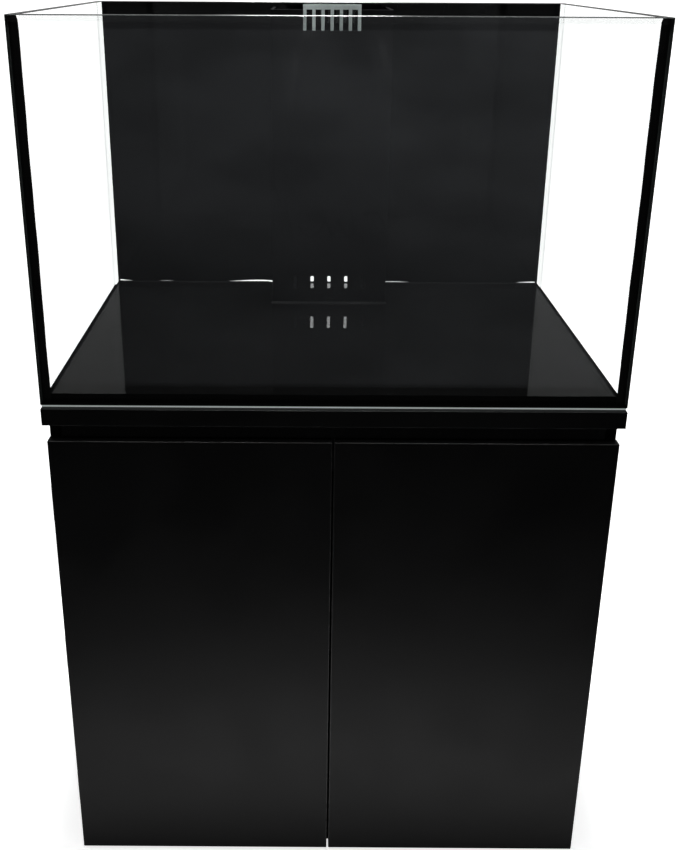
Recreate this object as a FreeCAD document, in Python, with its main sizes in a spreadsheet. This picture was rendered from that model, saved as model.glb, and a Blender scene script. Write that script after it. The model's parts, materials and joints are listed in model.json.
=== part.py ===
"""Rimless glass aquarium with a black overflow box, on its two-door cabinet stand.

Millimetres. +Z is up, the doors face -Y, and the origin is on the floor under the middle of
the stand. Every size below can be changed by itself: each piece is bound to these cells by
an expression, and what seats on it or passes through it follows.
"""
import FreeCAD, Part
import math
import os
import Sketcher

doc = FreeCAD.newDocument("aquarium_on_stand")

# ---------------------------------------------------------------- driving sizes
DRIVING_SIZES = {
    # glass tank
    "tank_width": 914,
    "tank_depth": 610,
    "tank_height": 584,
    "glass": 12,
    "seal_joint": 1,
    "seal_bead": 3.5,
    "bead_lip": 0.2,
    "bead_below_rim": 3,
    "film_thickness": 0.3,
    "film_side_margin": 2,
    "film_below_rim": 1.5,
    "film_above_floor": 1.5,
    "film_window_width": 104,
    "film_window_height": 125,
    "mat_thickness": 3,
    "mat_inset": 1.5,
    # overflow box
    "overflow_width": 225,
    "overflow_reach": 134,
    "overflow_below_rim": 9,
    "overflow_panel": 6,
    "overflow_joint": 0.5,
    "overflow_bead": 3,
    "comb_width": 106,
    "comb_depth": 37,
    "comb_play": 0.2,
    "tooth_width": 6,
    "tooth_count": 7,
    "slot_width": 6,
    "slot_height": 26,
    "slot_pitch": 33.5,
    "slot_count": 5,
    "slot_above_floor": 29.5,
    # plumbing in the overflow box
    "fitting_offset": 70,
    "pipe_height": 430,
    "pipe_play": 0.08,
    "pipe_stop": 0.3,
    "socket_depth": 25,
    "waist_step": 3.5,
    "drain_pipe_radius": 16.7,
    "return_pipe_radius": 13.35,
    "pipe_wall": 3.2,
    "bulkhead_wall": 5.3,
    "flange_rim": 10,
    "flange_height": 8,
    "gasket_height": 2.5,
    "gasket_rim": 8,
    "bulkhead_drop": 33,
    "nut_height": 12,
    "nut_rim": 7,
    "nut_play": 0.1,
    "pane_hole_play": 1.5,
    "board_hole_play": 12,
    "cap_wall": 3,
    "cap_grip": 22,
    "strainer_height": 62,
    "strainer_slot_width": 4,
    "strainer_slot_count": 10,
    "strainer_top": 4,
    # stand
    "stand_height": 897,
    "slab_width": 910,
    "slab_depth": 626,
    "slab_thickness": 28,
    "carcass_width": 900,
    "carcass_back_inset": 8,
    "board": 18,
    "rail_height": 90,
    "back_window_width": 560,
    "back_window_height": 250,
    "back_window_bottom": 545,
    "back_window_radius": 30,
    "glide_height": 6,
    "glide_radius": 13,
    "glide_inset": 9,
    "dowel_radius": 4,
    "dowel_length": 40,
    "dowel_short_end": 12,
    "dowel_play": 0.05,
    "dowel_end_inset": 60,
    "floor_dowel_count": 4,
    "rail_dowel_count": 2,
    "back_dowel_count": 3,
    "top_dowel_count": 3,
    # doors
    "door_thickness": 18,
    "door_front_inset": 3,
    "door_gap_behind": 3,
    "door_gap_between": 3,
    "door_below_slab": 28.5,
    "door_above_ground": 8,
    "bumper_radius": 5,
    "bumper_play": 0.3,
    "bumper_inset": 18,
    # butt hinges
    "hinge_height": 64,
    "hinge_end_inset": 90,
    "leaf_width": 15,
    "leaf_thickness": 1.2,
    "barrel_radius": 2.6,
    "barrel_side_gap": 0.4,
    "pin_radius": 1.3,
    "pin_play": 0.05,
    "pin_head": 1,
    "pin_head_radius": 2.1,
    "knuckle_count": 5,
    "knuckle_gap": 0.4,
    "hinge_screw_radius": 1.6,
    "hinge_screw_head_radius": 3,
    "hinge_screw_length": 14,
    "hinge_screw_spacing": 44,
    # push latches
    "latch_from_middle": 34,
    "latch_below_door_top": 22,
    "latch_radius": 5,
    "latch_bore_play": 0.05,
    "latch_collar_radius": 8,
    "latch_collar": 1,
    "latch_length": 42,
    "latch_end_wall": 3,
    "plunger_radius": 3,
    "plunger_play": 0.08,
    "plunger_length": 24,
    "plunger_head_radius": 2,
    "plunger_gap": 0.3,
    "spring_wire": 0.35,
    "spring_radius": 2.2,
    "spring_turns": 7,
    "strike_radius": 8,
    "strike_thickness": 0.8,
    "strike_screw_radius": 1.5,
    "strike_screw_head_radius": 3,
    "strike_screw_length": 12,
}

sheet = doc.addObject("Spreadsheet::Sheet", "sizes")
for row, (alias, number) in enumerate(DRIVING_SIZES.items(), start=1):
    sheet.set(f"A{row}", alias)
    sheet.set(f"B{row}", str(number))
    sheet.setAlias(f"B{row}", alias)
doc.recompute()


# ---------------------------------------------------------------- sizes as formulas
class Size:
    """A length known both as a number and as the sheet formula that gives it."""

    def __init__(self, value, formula):
        self.value = value
        self.formula = formula

    def __add__(self, other):
        other = as_size(other)
        return Size(self.value + other.value, f"({self.formula} + {other.formula})")

    def __sub__(self, other):
        other = as_size(other)
        return Size(self.value - other.value, f"({self.formula} - {other.formula})")

    def __mul__(self, other):
        other = as_size(other)
        return Size(self.value * other.value, f"({self.formula} * {other.formula})")

    def __truediv__(self, other):
        other = as_size(other)
        return Size(self.value / other.value, f"({self.formula} / {other.formula})")

    def __neg__(self):
        return Size(-self.value, f"(0 - {self.formula})")

    __radd__ = __add__
    __rmul__ = __mul__


def as_size(number):
    """Turn a plain number into a Size, and leave a Size as it is."""
    return number if isinstance(number, Size) else Size(float(number), f"({number})")


class Sizes:
    """The sheet's cells by name: sizes.glass is the cell called glass."""

    def __getattr__(self, alias):
        return Size(float(DRIVING_SIZES[alias]), f"sizes.{alias}")


s = Sizes()
ZERO = as_size(0)
SIDES = {"left": -1, "right": 1}
ALONG_X = FreeCAD.Rotation(FreeCAD.Vector(0, 1, 0), 90)
ALONG_Y = FreeCAD.Rotation(FreeCAD.Vector(1, 0, 0), -90)
ALONG_Z = FreeCAD.Rotation()


# ---------------------------------------------------------------- building blocks
def put(item, place, turn=ALONG_Z):
    """Set an object's Placement, with each coordinate bound to its formula."""
    item.Placement = FreeCAD.Placement(FreeCAD.Vector(*[as_size(c).value for c in place]), turn)
    for axis, coordinate in zip("xyz", place):
        item.setExpression(f"Placement.Base.{axis}", as_size(coordinate).formula)
    return item


def bind(item, **values):
    """Bind each named property to its formula."""
    for name, amount in values.items():
        number = as_size(amount).value
        setattr(item, name, int(number) if isinstance(getattr(item, name), int) else number)
        item.setExpression(name, as_size(amount).formula)
    return item


def box(name, low, high):
    """A block between two opposite corners."""
    block = bind(doc.addObject("Part::Box", name), Length=high[0] - low[0],
                 Width=high[1] - low[1], Height=high[2] - low[2])
    return put(block, low)


def rod(name, start, radius, length, turn=ALONG_Z):
    """A round bar from start, along the axis that turn gives."""
    bar = bind(doc.addObject("Part::Cylinder", name), Radius=radius, Height=length)
    return put(bar, start, turn)


def cone(name, start, radius, end_radius, height, turn=ALONG_Z):
    """A cone frustum from start, along the axis that turn gives."""
    frustum = bind(doc.addObject("Part::Cone", name), Radius1=radius, Radius2=end_radius,
                   Height=height)
    return put(frustum, start, turn)


def tapered_block(name, low, high, low_top, high_top):
    """A block whose top rectangle differs from its bottom one, both given by x and y."""
    wedge = doc.addObject("Part::Wedge", name)
    # the wedge tapers along its own Y, which the turn points up (its Z then points to -Y)
    bind(wedge, Xmin=low[0], Xmax=high[0], X2min=low_top[0], X2max=high_top[0],
         Ymin=ZERO, Ymax=high[2] - low[2],
         Zmin=-high[1], Zmax=-low[1], Z2min=-high_top[1], Z2max=-low_top[1])
    return put(wedge, (ZERO, ZERO, low[2]), FreeCAD.Rotation(FreeCAD.Vector(1, 0, 0), 90))


def fuse(name, pieces):
    """One solid from several that touch."""
    union = doc.addObject("Part::MultiFuse", name)
    union.Shapes = pieces
    return union


def group(name, pieces):
    """Separate solids kept together."""
    compound = doc.addObject("Part::Compound", name)
    compound.Links = pieces
    return compound


def cut(name, base, tools):
    """The base with every tool taken out of it."""
    difference = doc.addObject("Part::Cut", name)
    difference.Base = base
    difference.Tool = tools[0] if len(tools) == 1 else group(f"{name}_tools", tools)
    return difference


def body_at(name, place):
    """An empty PartDesign body at a place."""
    return put(doc.addObject("PartDesign::Body", name), place)


def sketch_on(body, name, plane, lift=ZERO):
    """An empty sketch on one of the body's own origin planes, lifted along its normal."""
    sketch = body.newObject("Sketcher::SketchObject", name)
    found = [f for f in body.Origin.OriginFeatures if f.Role == plane]
    sketch.AttachmentSupport = [(found[0], "")]
    sketch.MapMode = "FlatFace"
    sketch.AttachmentOffset = FreeCAD.Placement(FreeCAD.Vector(0, 0, lift.value), ALONG_Z)
    sketch.setExpression("AttachmentOffset.Base.z", lift.formula)
    return sketch


def hold(sketch, kind, value, *elements):
    """Add one dimension to a sketch and bind it to its formula."""
    value = as_size(value)
    index = sketch.addConstraint(Sketcher.Constraint(kind, *elements, value.value))
    sketch.setExpression(f"Constraints[{index}]", value.formula)


def draw_outline(sketch, corners):
    """Draw a closed outline of straight lines through corners given as formulas."""
    first = sketch.GeometryCount
    count = len(corners)
    points = [FreeCAD.Vector(as_size(a).value, as_size(b).value, 0) for a, b in corners]
    for index in range(count):
        sketch.addGeometry(Part.LineSegment(points[index], points[(index + 1) % count]))
    for index in range(count):
        following = first + (index + 1) % count
        sketch.addConstraint(Sketcher.Constraint("Coincident", first + index, 2, following, 1))
    for index, (across, up) in enumerate(corners):
        hold(sketch, "DistanceX", across, -1, 1, first + index, 1)
        hold(sketch, "DistanceY", up, -1, 1, first + index, 1)
    return sketch


def draw_slot(sketch, low, high, radius):
    """Draw a rectangle with round corners from four lines and four arcs."""
    left, bottom = (c.value for c in low)
    right, top = (c.value for c in high)
    corner = radius.value
    first = sketch.GeometryCount
    normal = FreeCAD.Vector(0, 0, 1)
    quarter = math.pi / 2
    lines = [((left + corner, bottom), (right - corner, bottom)),
             ((right, bottom + corner), (right, top - corner)),
             ((right - corner, top), (left + corner, top)),
             ((left, top - corner), (left, bottom + corner))]
    centres = [(right - corner, bottom + corner), (right - corner, top - corner),
               (left + corner, top - corner), (left + corner, bottom + corner)]
    for start, end in lines:
        sketch.addGeometry(Part.LineSegment(FreeCAD.Vector(*start), FreeCAD.Vector(*end)))
    for turn, centre in enumerate(centres):
        circle = Part.Circle(FreeCAD.Vector(*centre), normal, corner)
        arc = Part.ArcOfCircle(circle, (turn - 1) * quarter, turn * quarter)
        sketch.addGeometry(arc)
    for turn in range(4):
        line, arc = first + turn, first + 4 + turn
        following = first + (turn + 1) % 4
        sketch.addConstraint(Sketcher.Constraint("Tangent", line, 2, arc, 1))
        sketch.addConstraint(Sketcher.Constraint("Tangent", arc, 2, following, 1))
    for turn in range(3):
        sketch.addConstraint(Sketcher.Constraint("Equal", first + 4 + turn, first + 5 + turn))
    sketch.addConstraint(Sketcher.Constraint("Horizontal", first))
    sketch.addConstraint(Sketcher.Constraint("Vertical", first + 1))
    sketch.addConstraint(Sketcher.Constraint("Horizontal", first + 2))
    hold(sketch, "Radius", radius, first + 4)
    hold(sketch, "DistanceY", low[1], -1, 1, first, 1)
    hold(sketch, "DistanceX", high[0], -1, 1, first + 1, 1)
    hold(sketch, "DistanceY", high[1], -1, 1, first + 2, 1)
    hold(sketch, "DistanceX", low[0], -1, 1, first + 3, 1)
    return sketch


def pad(body, name, sketch, length, backwards=False):
    """Give a sketch its thickness, along its plane's normal unless backwards."""
    feature = body.newObject("PartDesign::Pad", name)
    feature.Profile = sketch
    feature.Reversed = backwards
    body.Tip = feature
    return bind(feature, Length=length)


def pocket(body, name, sketch, backwards=False):
    """Cut a sketch right through the body, along its normal if backwards."""
    feature = body.newObject("PartDesign::Pocket", name)
    feature.Profile = sketch
    feature.Type = "ThroughAll"
    feature.Reversed = backwards
    body.Tip = feature
    return feature


def row_of(body, name, feature, sketch, pitch, count):
    """Repeat a feature along its sketch's horizontal axis."""
    pattern = body.newObject("PartDesign::LinearPattern", name)
    pattern.Originals = [feature]
    pattern.Direction = (sketch, ["H_Axis"])
    bind(pattern, Length=pitch * (count - 1), Occurrences=count)
    body.Tip = pattern
    return pattern


def turned(name, place, outline, turn=ALONG_Z):
    """A piece of revolution: outline gives (radius, height) corners."""
    body = put(doc.addObject("PartDesign::Body", name), place, turn)
    sketch = draw_outline(sketch_on(body, f"{name}_profile", "XZ_Plane"), outline)
    revolution = body.newObject("PartDesign::Revolution", f"{name}_turned")
    revolution.Profile = sketch
    revolution.ReferenceAxis = (sketch, ["V_Axis"])
    revolution.Angle = 360
    body.Tip = revolution
    return body


parts = []


def keep(*pieces):
    """Note finished sub-parts, whose names become their files' names."""
    parts.extend(pieces)


# ---------------------------------------------------------------- shared planes
half_tank = s.tank_width / 2
tank_front = -s.tank_depth / 2
tank_back = s.tank_depth / 2
inner_x = half_tank - s.glass
inner_front = tank_front + s.glass
inner_back = tank_back - s.glass
tank_base = s.stand_height + s.mat_thickness
floor_top = tank_base + s.glass
rim = tank_base + s.tank_height

half_slab = s.slab_width / 2
slab_front = -s.slab_depth / 2
slab_back = s.slab_depth / 2
slab_bottom = s.stand_height - s.slab_thickness

half_carcass = s.carcass_width / 2
door_front = slab_front + s.door_front_inset
door_back = door_front + s.door_thickness
carcass_front = door_back + s.door_gap_behind
carcass_back = slab_back - s.carcass_back_inset
inside_x = half_carcass - s.board
board_top = s.glide_height + s.board

overflow_front_y = inner_back - s.overflow_reach
overflow_top = rim - s.overflow_below_rim
chamber_front = overflow_front_y + s.overflow_panel
chamber_middle = (chamber_front + inner_back) / 2


# ---------------------------------------------------------------- plumbing through the floor
def fitting_x(side):
    """The drain stands left of the middle of the overflow box, the return right of it."""
    return s.fitting_offset * SIDES[side]


def bulkhead(name, side, pipe_radius):
    """A flanged union clamped through the floor pane: body, gasket under its flange, nut."""
    place = (fitting_x(side), chamber_middle, floor_top)
    bore = pipe_radius + s.pipe_play
    thread = pipe_radius + s.bulkhead_wall
    flange = thread + s.flange_rim
    top = s.gasket_height + s.flange_height
    bottom = -(s.glass + s.bulkhead_drop)
    waist = bore - s.waist_step
    body = turned(name, place, [
        (waist, top - s.socket_depth), (bore, top - s.socket_depth), (bore, top),
        (flange, top), (flange, s.gasket_height), (thread, s.gasket_height),
        (thread, bottom), (bore, bottom), (bore, bottom + s.socket_depth),
        (waist, bottom + s.socket_depth)])
    gasket = turned(f"{name}_gasket", place, [
        (thread + s.nut_play, ZERO), (thread + s.gasket_rim, ZERO),
        (thread + s.gasket_rim, s.gasket_height), (thread + s.nut_play, s.gasket_height)])
    nut_place = (place[0], place[1], tank_base - s.nut_height)
    hexagon = bind(doc.addObject("Part::Prism", f"{name}_hexagon"),
                   Circumradius=thread + s.nut_rim, Height=s.nut_height)
    hexagon.Polygon = 6
    put(hexagon, nut_place)
    thread_hole = rod(f"{name}_thread", nut_place, thread + s.nut_play, s.nut_height)
    nut = cut(f"{name}_nut", hexagon, [thread_hole])
    keep(body, gasket, nut)


def pipe(name, side, radius):
    """A pipe standing in its bulkhead's socket."""
    foot = floor_top + s.gasket_height + s.flange_height - s.socket_depth + s.pipe_stop
    place = (fitting_x(side), chamber_middle, foot)
    length = floor_top + s.pipe_height - foot
    outside = rod(f"{name}_outside", place, radius, length)
    inside = rod(f"{name}_inside", place, radius - s.pipe_wall, length)
    return cut(name, outside, [inside])


def passage(name, side, radius, low, high):
    """A round hole's tool for a bulkhead, between two heights."""
    return rod(name, (fitting_x(side), chamber_middle, low), radius, high - low)


def passages(name, play, low, high):
    """The drain's and the return's holes through one sheet."""
    drain = s.drain_pipe_radius + s.bulkhead_wall + play
    feed = s.return_pipe_radius + s.bulkhead_wall + play
    return [passage(f"{name}_drain_hole", "left", drain, low, high),
            passage(f"{name}_return_hole", "right", feed, low, high)]


bulkhead("drain_bulkhead", "left", s.drain_pipe_radius)
bulkhead("return_bulkhead", "right", s.return_pipe_radius)
keep(pipe("drain_standpipe", "left", s.drain_pipe_radius))
keep(pipe("return_riser", "right", s.return_pipe_radius))

# the strainer slips over the standpipe's top, and its cage of slots stands above it
strainer_bore = s.drain_pipe_radius + s.pipe_play
strainer_outside = strainer_bore + s.cap_wall
strainer_cage = strainer_outside - s.cap_wall - s.cap_wall
strainer = turned("drain_strainer", (fitting_x("left"), chamber_middle, floor_top + s.pipe_height), [
    (strainer_bore, -s.cap_grip), (strainer_outside, -s.cap_grip),
    (strainer_outside, s.strainer_height), (ZERO, s.strainer_height),
    (ZERO, s.strainer_height - s.strainer_top), (strainer_cage, s.strainer_height - s.strainer_top),
    (strainer_cage, ZERO), (strainer_bore, ZERO)])
slot_sketch = sketch_on(strainer, "strainer_slot", "XZ_Plane")
half_slot = s.strainer_slot_width / 2
draw_outline(slot_sketch, [
    (-half_slot, s.strainer_top), (half_slot, s.strainer_top),
    (half_slot, s.strainer_height - s.strainer_top * 2),
    (-half_slot, s.strainer_height - s.strainer_top * 2)])
slot_cut = pocket(strainer, "strainer_slot_cut", slot_sketch)
slots = strainer.newObject("PartDesign::PolarPattern", "strainer_slots")
slots.Originals = [slot_cut]
slots.Axis = (slot_sketch, ["V_Axis"])
slots.Angle = 360
bind(slots, Occurrences=s.strainer_slot_count)
strainer.Tip = slots
keep(strainer)

# the return riser is blanked by a plain cap until its hose is fitted
cap_bore = s.return_pipe_radius + s.pipe_play
keep(turned("return_cap", (fitting_x("right"), chamber_middle, floor_top + s.pipe_height), [
    (cap_bore, -s.cap_grip), (cap_bore + s.cap_wall, -s.cap_grip),
    (cap_bore + s.cap_wall, s.cap_wall), (ZERO, s.cap_wall), (ZERO, ZERO), (cap_bore, ZERO)]))


# ---------------------------------------------------------------- glass panes
keep(box("pane_front", (-half_tank, tank_front, tank_base), (half_tank, inner_front, rim)))
keep(box("pane_back", (-half_tank, inner_back, tank_base), (half_tank, tank_back, rim)))
side_front = inner_front + s.seal_joint
side_back = inner_back - s.seal_joint
keep(box("pane_left", (-half_tank, side_front, tank_base), (-inner_x, side_back, rim)))
keep(box("pane_right", (inner_x, side_front, tank_base), (half_tank, side_back, rim)))

floor_x = inner_x - s.seal_joint
floor_sheet = box("pane_floor_sheet", (-floor_x, side_front, tank_base), (floor_x, side_back, floor_top))
keep(cut("pane_floor", floor_sheet, passages("pane", s.pane_hole_play, tank_base, floor_top)))


# ---------------------------------------------------------------- silicone
def corner_seal(name, side, end):
    """The black joint between a side pane's end and the front or back pane, and its bead."""
    hand = SIDES[side]
    inner = inner_front if end == "front" else inner_back
    inward = 1 if end == "front" else -1
    body = body_at(name, (inner_x * hand, inner, tank_base))
    joint = draw_outline(sketch_on(body, f"{name}_joint_sketch", "XY_Plane"), [
        (ZERO, ZERO), (s.glass * hand, ZERO),
        (s.glass * hand, s.seal_joint * inward), (ZERO, s.seal_joint * inward)])
    pad(body, f"{name}_joint", joint, s.tank_height)
    bead_foot = s.glass + s.seal_bead
    bead = draw_outline(sketch_on(body, f"{name}_bead_sketch", "XY_Plane", bead_foot), [
        (ZERO, ZERO), (ZERO, s.seal_bead * inward), (s.seal_bead * -hand, ZERO)])
    pad(body, f"{name}_bead", bead, s.tank_height - s.bead_below_rim - bead_foot)
    keep(body)


for side in SIDES:
    for end in ("front", "back"):
        corner_seal(f"seal_{end}_{side}", side, end)

# round the floor pane: the joint to the walls, and a sloped bead above it
joint_ring = cut("floor_joint", box("floor_joint_outside", (-inner_x, inner_front, tank_base),
                                    (inner_x, inner_back, floor_top)),
                 [box("floor_joint_inside", (-floor_x, side_front, tank_base),
                      (floor_x, side_back, floor_top))])
bead_top = floor_top + s.seal_bead
bead_x = inner_x - s.seal_bead
bead_front = inner_front + s.seal_bead
bead_back = inner_back - s.seal_bead
bead_ring = cut("floor_bead", box("floor_bead_outside", (-inner_x, inner_front, floor_top),
                                  (inner_x, inner_back, bead_top)),
                [tapered_block("floor_bead_inside", (-bead_x, bead_front, floor_top),
                               (bead_x, bead_back, bead_top),
                               (-inner_x + s.bead_lip, inner_front + s.bead_lip),
                               (inner_x - s.bead_lip, inner_back - s.bead_lip))])

# black film on the back pane's outer face, with a window low down behind the overflow box
film = body_at("back_film", (ZERO, tank_back, tank_base))
film_x = half_tank - s.film_side_margin
film_foot = s.glass + s.film_above_floor
window_x = s.film_window_width / 2
film_outline = draw_outline(sketch_on(film, "film_outline", "XZ_Plane"), [
    (-film_x, film_foot), (-window_x, film_foot), (-window_x, film_foot + s.film_window_height),
    (window_x, film_foot + s.film_window_height), (window_x, film_foot), (film_x, film_foot),
    (film_x, s.tank_height - s.film_below_rim), (-film_x, s.tank_height - s.film_below_rim)])
pad(film, "film_sheet", film_outline, s.film_thickness, backwards=True)
keep(film)

mat_x = half_tank - s.mat_inset
mat_sheet = box("mat_sheet", (-mat_x, tank_front + s.mat_inset, s.stand_height),
                (mat_x, tank_back - s.mat_inset, tank_base))
keep(cut("levelling_mat", mat_sheet, passages("mat", s.board_hole_play, s.stand_height, tank_base)))


# ---------------------------------------------------------------- overflow box
half_overflow = s.overflow_width / 2
panel_foot = floor_top + s.overflow_joint
panel_height = overflow_top - panel_foot
front_panel = body_at("overflow_front", (ZERO, overflow_front_y, panel_foot))
notch_x = s.comb_width / 2 + s.comb_play
notch_sill = panel_height - s.comb_depth
panel_outline = draw_outline(sketch_on(front_panel, "front_outline", "XZ_Plane"), [
    (-half_overflow, ZERO), (half_overflow, ZERO), (half_overflow, panel_height),
    (notch_x, panel_height), (notch_x, notch_sill), (-notch_x, notch_sill),
    (-notch_x, panel_height), (-half_overflow, panel_height)])
pad(front_panel, "front_sheet", panel_outline, s.overflow_panel, backwards=True)
first_slot = s.slot_pitch * (s.slot_count - 1) / -2
slot_foot = s.slot_above_floor - s.overflow_joint
low_slot = draw_outline(sketch_on(front_panel, "slot_outline", "XZ_Plane"), [
    (first_slot - s.slot_width / 2, slot_foot), (first_slot + s.slot_width / 2, slot_foot),
    (first_slot + s.slot_width / 2, slot_foot + s.slot_height),
    (first_slot - s.slot_width / 2, slot_foot + s.slot_height)])
first_cut = pocket(front_panel, "slot_cut", low_slot)
row_of(front_panel, "slot_row", first_cut, low_slot, s.slot_pitch, s.slot_count)
keep(front_panel)

side_panel_back = inner_back - s.overflow_joint
overflow_sides = []
for side, hand in SIDES.items():
    outer = half_overflow * hand
    inner = (half_overflow - s.overflow_panel) * hand
    left_edge, right_edge = (outer, inner) if hand < 0 else (inner, outer)
    overflow_sides.append(box(f"overflow_{side}", (left_edge, chamber_front, panel_foot),
                              (right_edge, side_panel_back, overflow_top)))
keep(*overflow_sides)
# the tank's floor bead is interrupted where the side panels cross it
keep(fuse("seal_floor", [joint_ring, cut("floor_bead_notched", bead_ring, overflow_sides)]))

# the comb stands in the notch and fills it from the sill to the rim
comb = body_at("weir_comb", (ZERO, overflow_front_y, panel_foot + notch_sill))
half_comb = s.comb_width / 2
comb_height = s.comb_depth + s.overflow_below_rim
comb_outline = draw_outline(sketch_on(comb, "comb_outline", "XZ_Plane"), [
    (-half_comb, ZERO), (half_comb, ZERO), (half_comb, comb_height), (-half_comb, comb_height)])
pad(comb, "comb_sheet", comb_outline, s.overflow_panel, backwards=True)
comb_pitch = (s.comb_width - s.tooth_width) / (s.tooth_count - 1)
gap_left = -half_comb + s.tooth_width
gap_right = gap_left + comb_pitch - s.tooth_width
comb_gap = draw_outline(sketch_on(comb, "comb_gap_outline", "XZ_Plane"), [
    (gap_left, ZERO), (gap_right, ZERO), (gap_right, s.comb_depth), (gap_left, s.comb_depth)])
gap_cut = pocket(comb, "comb_gap_cut", comb_gap)
row_of(comb, "comb_gaps", gap_cut, comb_gap, comb_pitch, s.tooth_count - 1)
keep(comb)

# silicone under the panels, behind the side panels, and beads outside them
chamber_x = half_overflow - s.overflow_panel
overflow_bead_top = floor_top + s.overflow_bead
bead_reach = half_overflow + s.overflow_bead
bead_lip_x = half_overflow + s.bead_lip
under_panels = cut("overflow_under", box("overflow_under_outside",
                                         (-half_overflow, overflow_front_y, floor_top),
                                         (half_overflow, inner_back, panel_foot)),
                   [box("overflow_under_inside", (-chamber_x, chamber_front, floor_top),
                        (chamber_x, inner_back, panel_foot))])
# the bead stops at the tank's own floor bead
bead_ring_back = inner_back - s.seal_bead
round_panels = cut("overflow_bead_ring",
                   tapered_block("overflow_bead_outside",
                                 (-bead_reach, overflow_front_y - s.overflow_bead, floor_top),
                                 (bead_reach, bead_ring_back, overflow_bead_top),
                                 (-bead_lip_x, overflow_front_y - s.bead_lip),
                                 (bead_lip_x, bead_ring_back)),
                   [box("overflow_bead_inside", (-half_overflow, overflow_front_y, floor_top),
                        (half_overflow, inner_back, overflow_bead_top))])
seal_pieces = [cut("overflow_foot_seal", fuse("overflow_foot", [under_panels, round_panels]),
                   [bead_ring])]
for side, hand in SIDES.items():
    upright = body_at(f"overflow_{side}_seal", (half_overflow * hand, inner_back, floor_top))
    joint = draw_outline(sketch_on(upright, f"{side}_joint_sketch", "XY_Plane", s.overflow_joint), [
        (ZERO, ZERO), (ZERO, -s.overflow_joint),
        (s.overflow_panel * -hand, -s.overflow_joint), (s.overflow_panel * -hand, ZERO)])
    pad(upright, f"{side}_joint_pad", joint, panel_height)
    corner = draw_outline(sketch_on(upright, f"{side}_bead_sketch", "XY_Plane", s.seal_bead), [
        (ZERO, ZERO), (s.overflow_bead * hand, ZERO), (ZERO, -s.overflow_bead)])
    pad(upright, f"{side}_bead_pad", corner, overflow_top - floor_top - s.seal_bead)
    seal_pieces.append(cut(f"overflow_{side}_upright", upright, [bead_ring]))
keep(group("seal_overflow", seal_pieces))


# ---------------------------------------------------------------- stand: fixings first
def dowel_line(name, first, last, count, turn, extra):
    """Round pegs spread evenly from first to last. extra widens them, to make their holes."""
    pegs = []
    steps = int(count.value) - 1
    for index in range(steps + 1):
        place = tuple(a + (b - a) * index / steps for a, b in zip(first, last))
        pegs.append(rod(f"{name}_{index}", place, s.dowel_radius + extra, s.dowel_length, turn))
    return pegs


def dowel_set(name, extra):
    """Every dowel of the carcass: sides to floor, rail and back, and sides to the slab."""
    pegs = []
    reach = s.dowel_length - s.dowel_short_end
    low_y = carcass_front + s.dowel_end_inset
    high_y = carcass_back - s.dowel_end_inset
    floor_z = s.glide_height + s.board / 2
    rail_y = carcass_front + s.board / 2
    rail_low = slab_bottom - s.rail_height + s.rail_height / 4
    rail_high = slab_bottom - s.rail_height / 4
    back_y = carcass_back - s.board / 2
    back_low = board_top + s.dowel_end_inset
    back_high = slab_bottom - s.dowel_end_inset
    top_low_y = low_y + s.dowel_end_inset
    top_high_y = high_y - s.dowel_end_inset
    top_z = slab_bottom - reach
    for side, hand in SIDES.items():
        # a dowel across the joint starts in the side on the left and in the board on the right
        peg_x = -inside_x - s.dowel_short_end if hand < 0 else inside_x - reach
        pegs += dowel_line(f"{name}_{side}_floor", (peg_x, low_y, floor_z), (peg_x, high_y, floor_z),
                           s.floor_dowel_count, ALONG_X, extra)
        pegs += dowel_line(f"{name}_{side}_rail", (peg_x, rail_y, rail_low), (peg_x, rail_y, rail_high),
                           s.rail_dowel_count, ALONG_X, extra)
        pegs += dowel_line(f"{name}_{side}_back", (peg_x, back_y, back_low), (peg_x, back_y, back_high),
                           s.back_dowel_count, ALONG_X, extra)
        upright_x = (half_carcass - s.board / 2) * hand
        pegs += dowel_line(f"{name}_{side}_top", (upright_x, top_low_y, top_z),
                           (upright_x, top_high_y, top_z), s.top_dowel_count, ALONG_Z, extra)
    return group(name, pegs)


dowels = dowel_set("carcass_dowels", ZERO)
dowel_holes = dowel_set("dowel_holes", s.dowel_play)
keep(dowels)


# ---------------------------------------------------------------- hinges
HINGES_PER_DOOR = 3
door_bottom = s.door_above_ground
door_top = slab_bottom - s.door_below_slab
door_height = door_top - door_bottom
hinge_axis_x = half_carcass + s.barrel_side_gap + s.barrel_radius
hinge_axis_y = (door_back + carcass_front) / 2
knuckle_pitch = s.hinge_height / s.knuckle_count


def hinge_foot(index):
    """The lower end of one hinge's leaves."""
    low = door_bottom + s.hinge_end_inset
    high = door_top - s.hinge_end_inset - s.hinge_height
    return low + (high - low) * index / (HINGES_PER_DOOR - 1)


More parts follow.
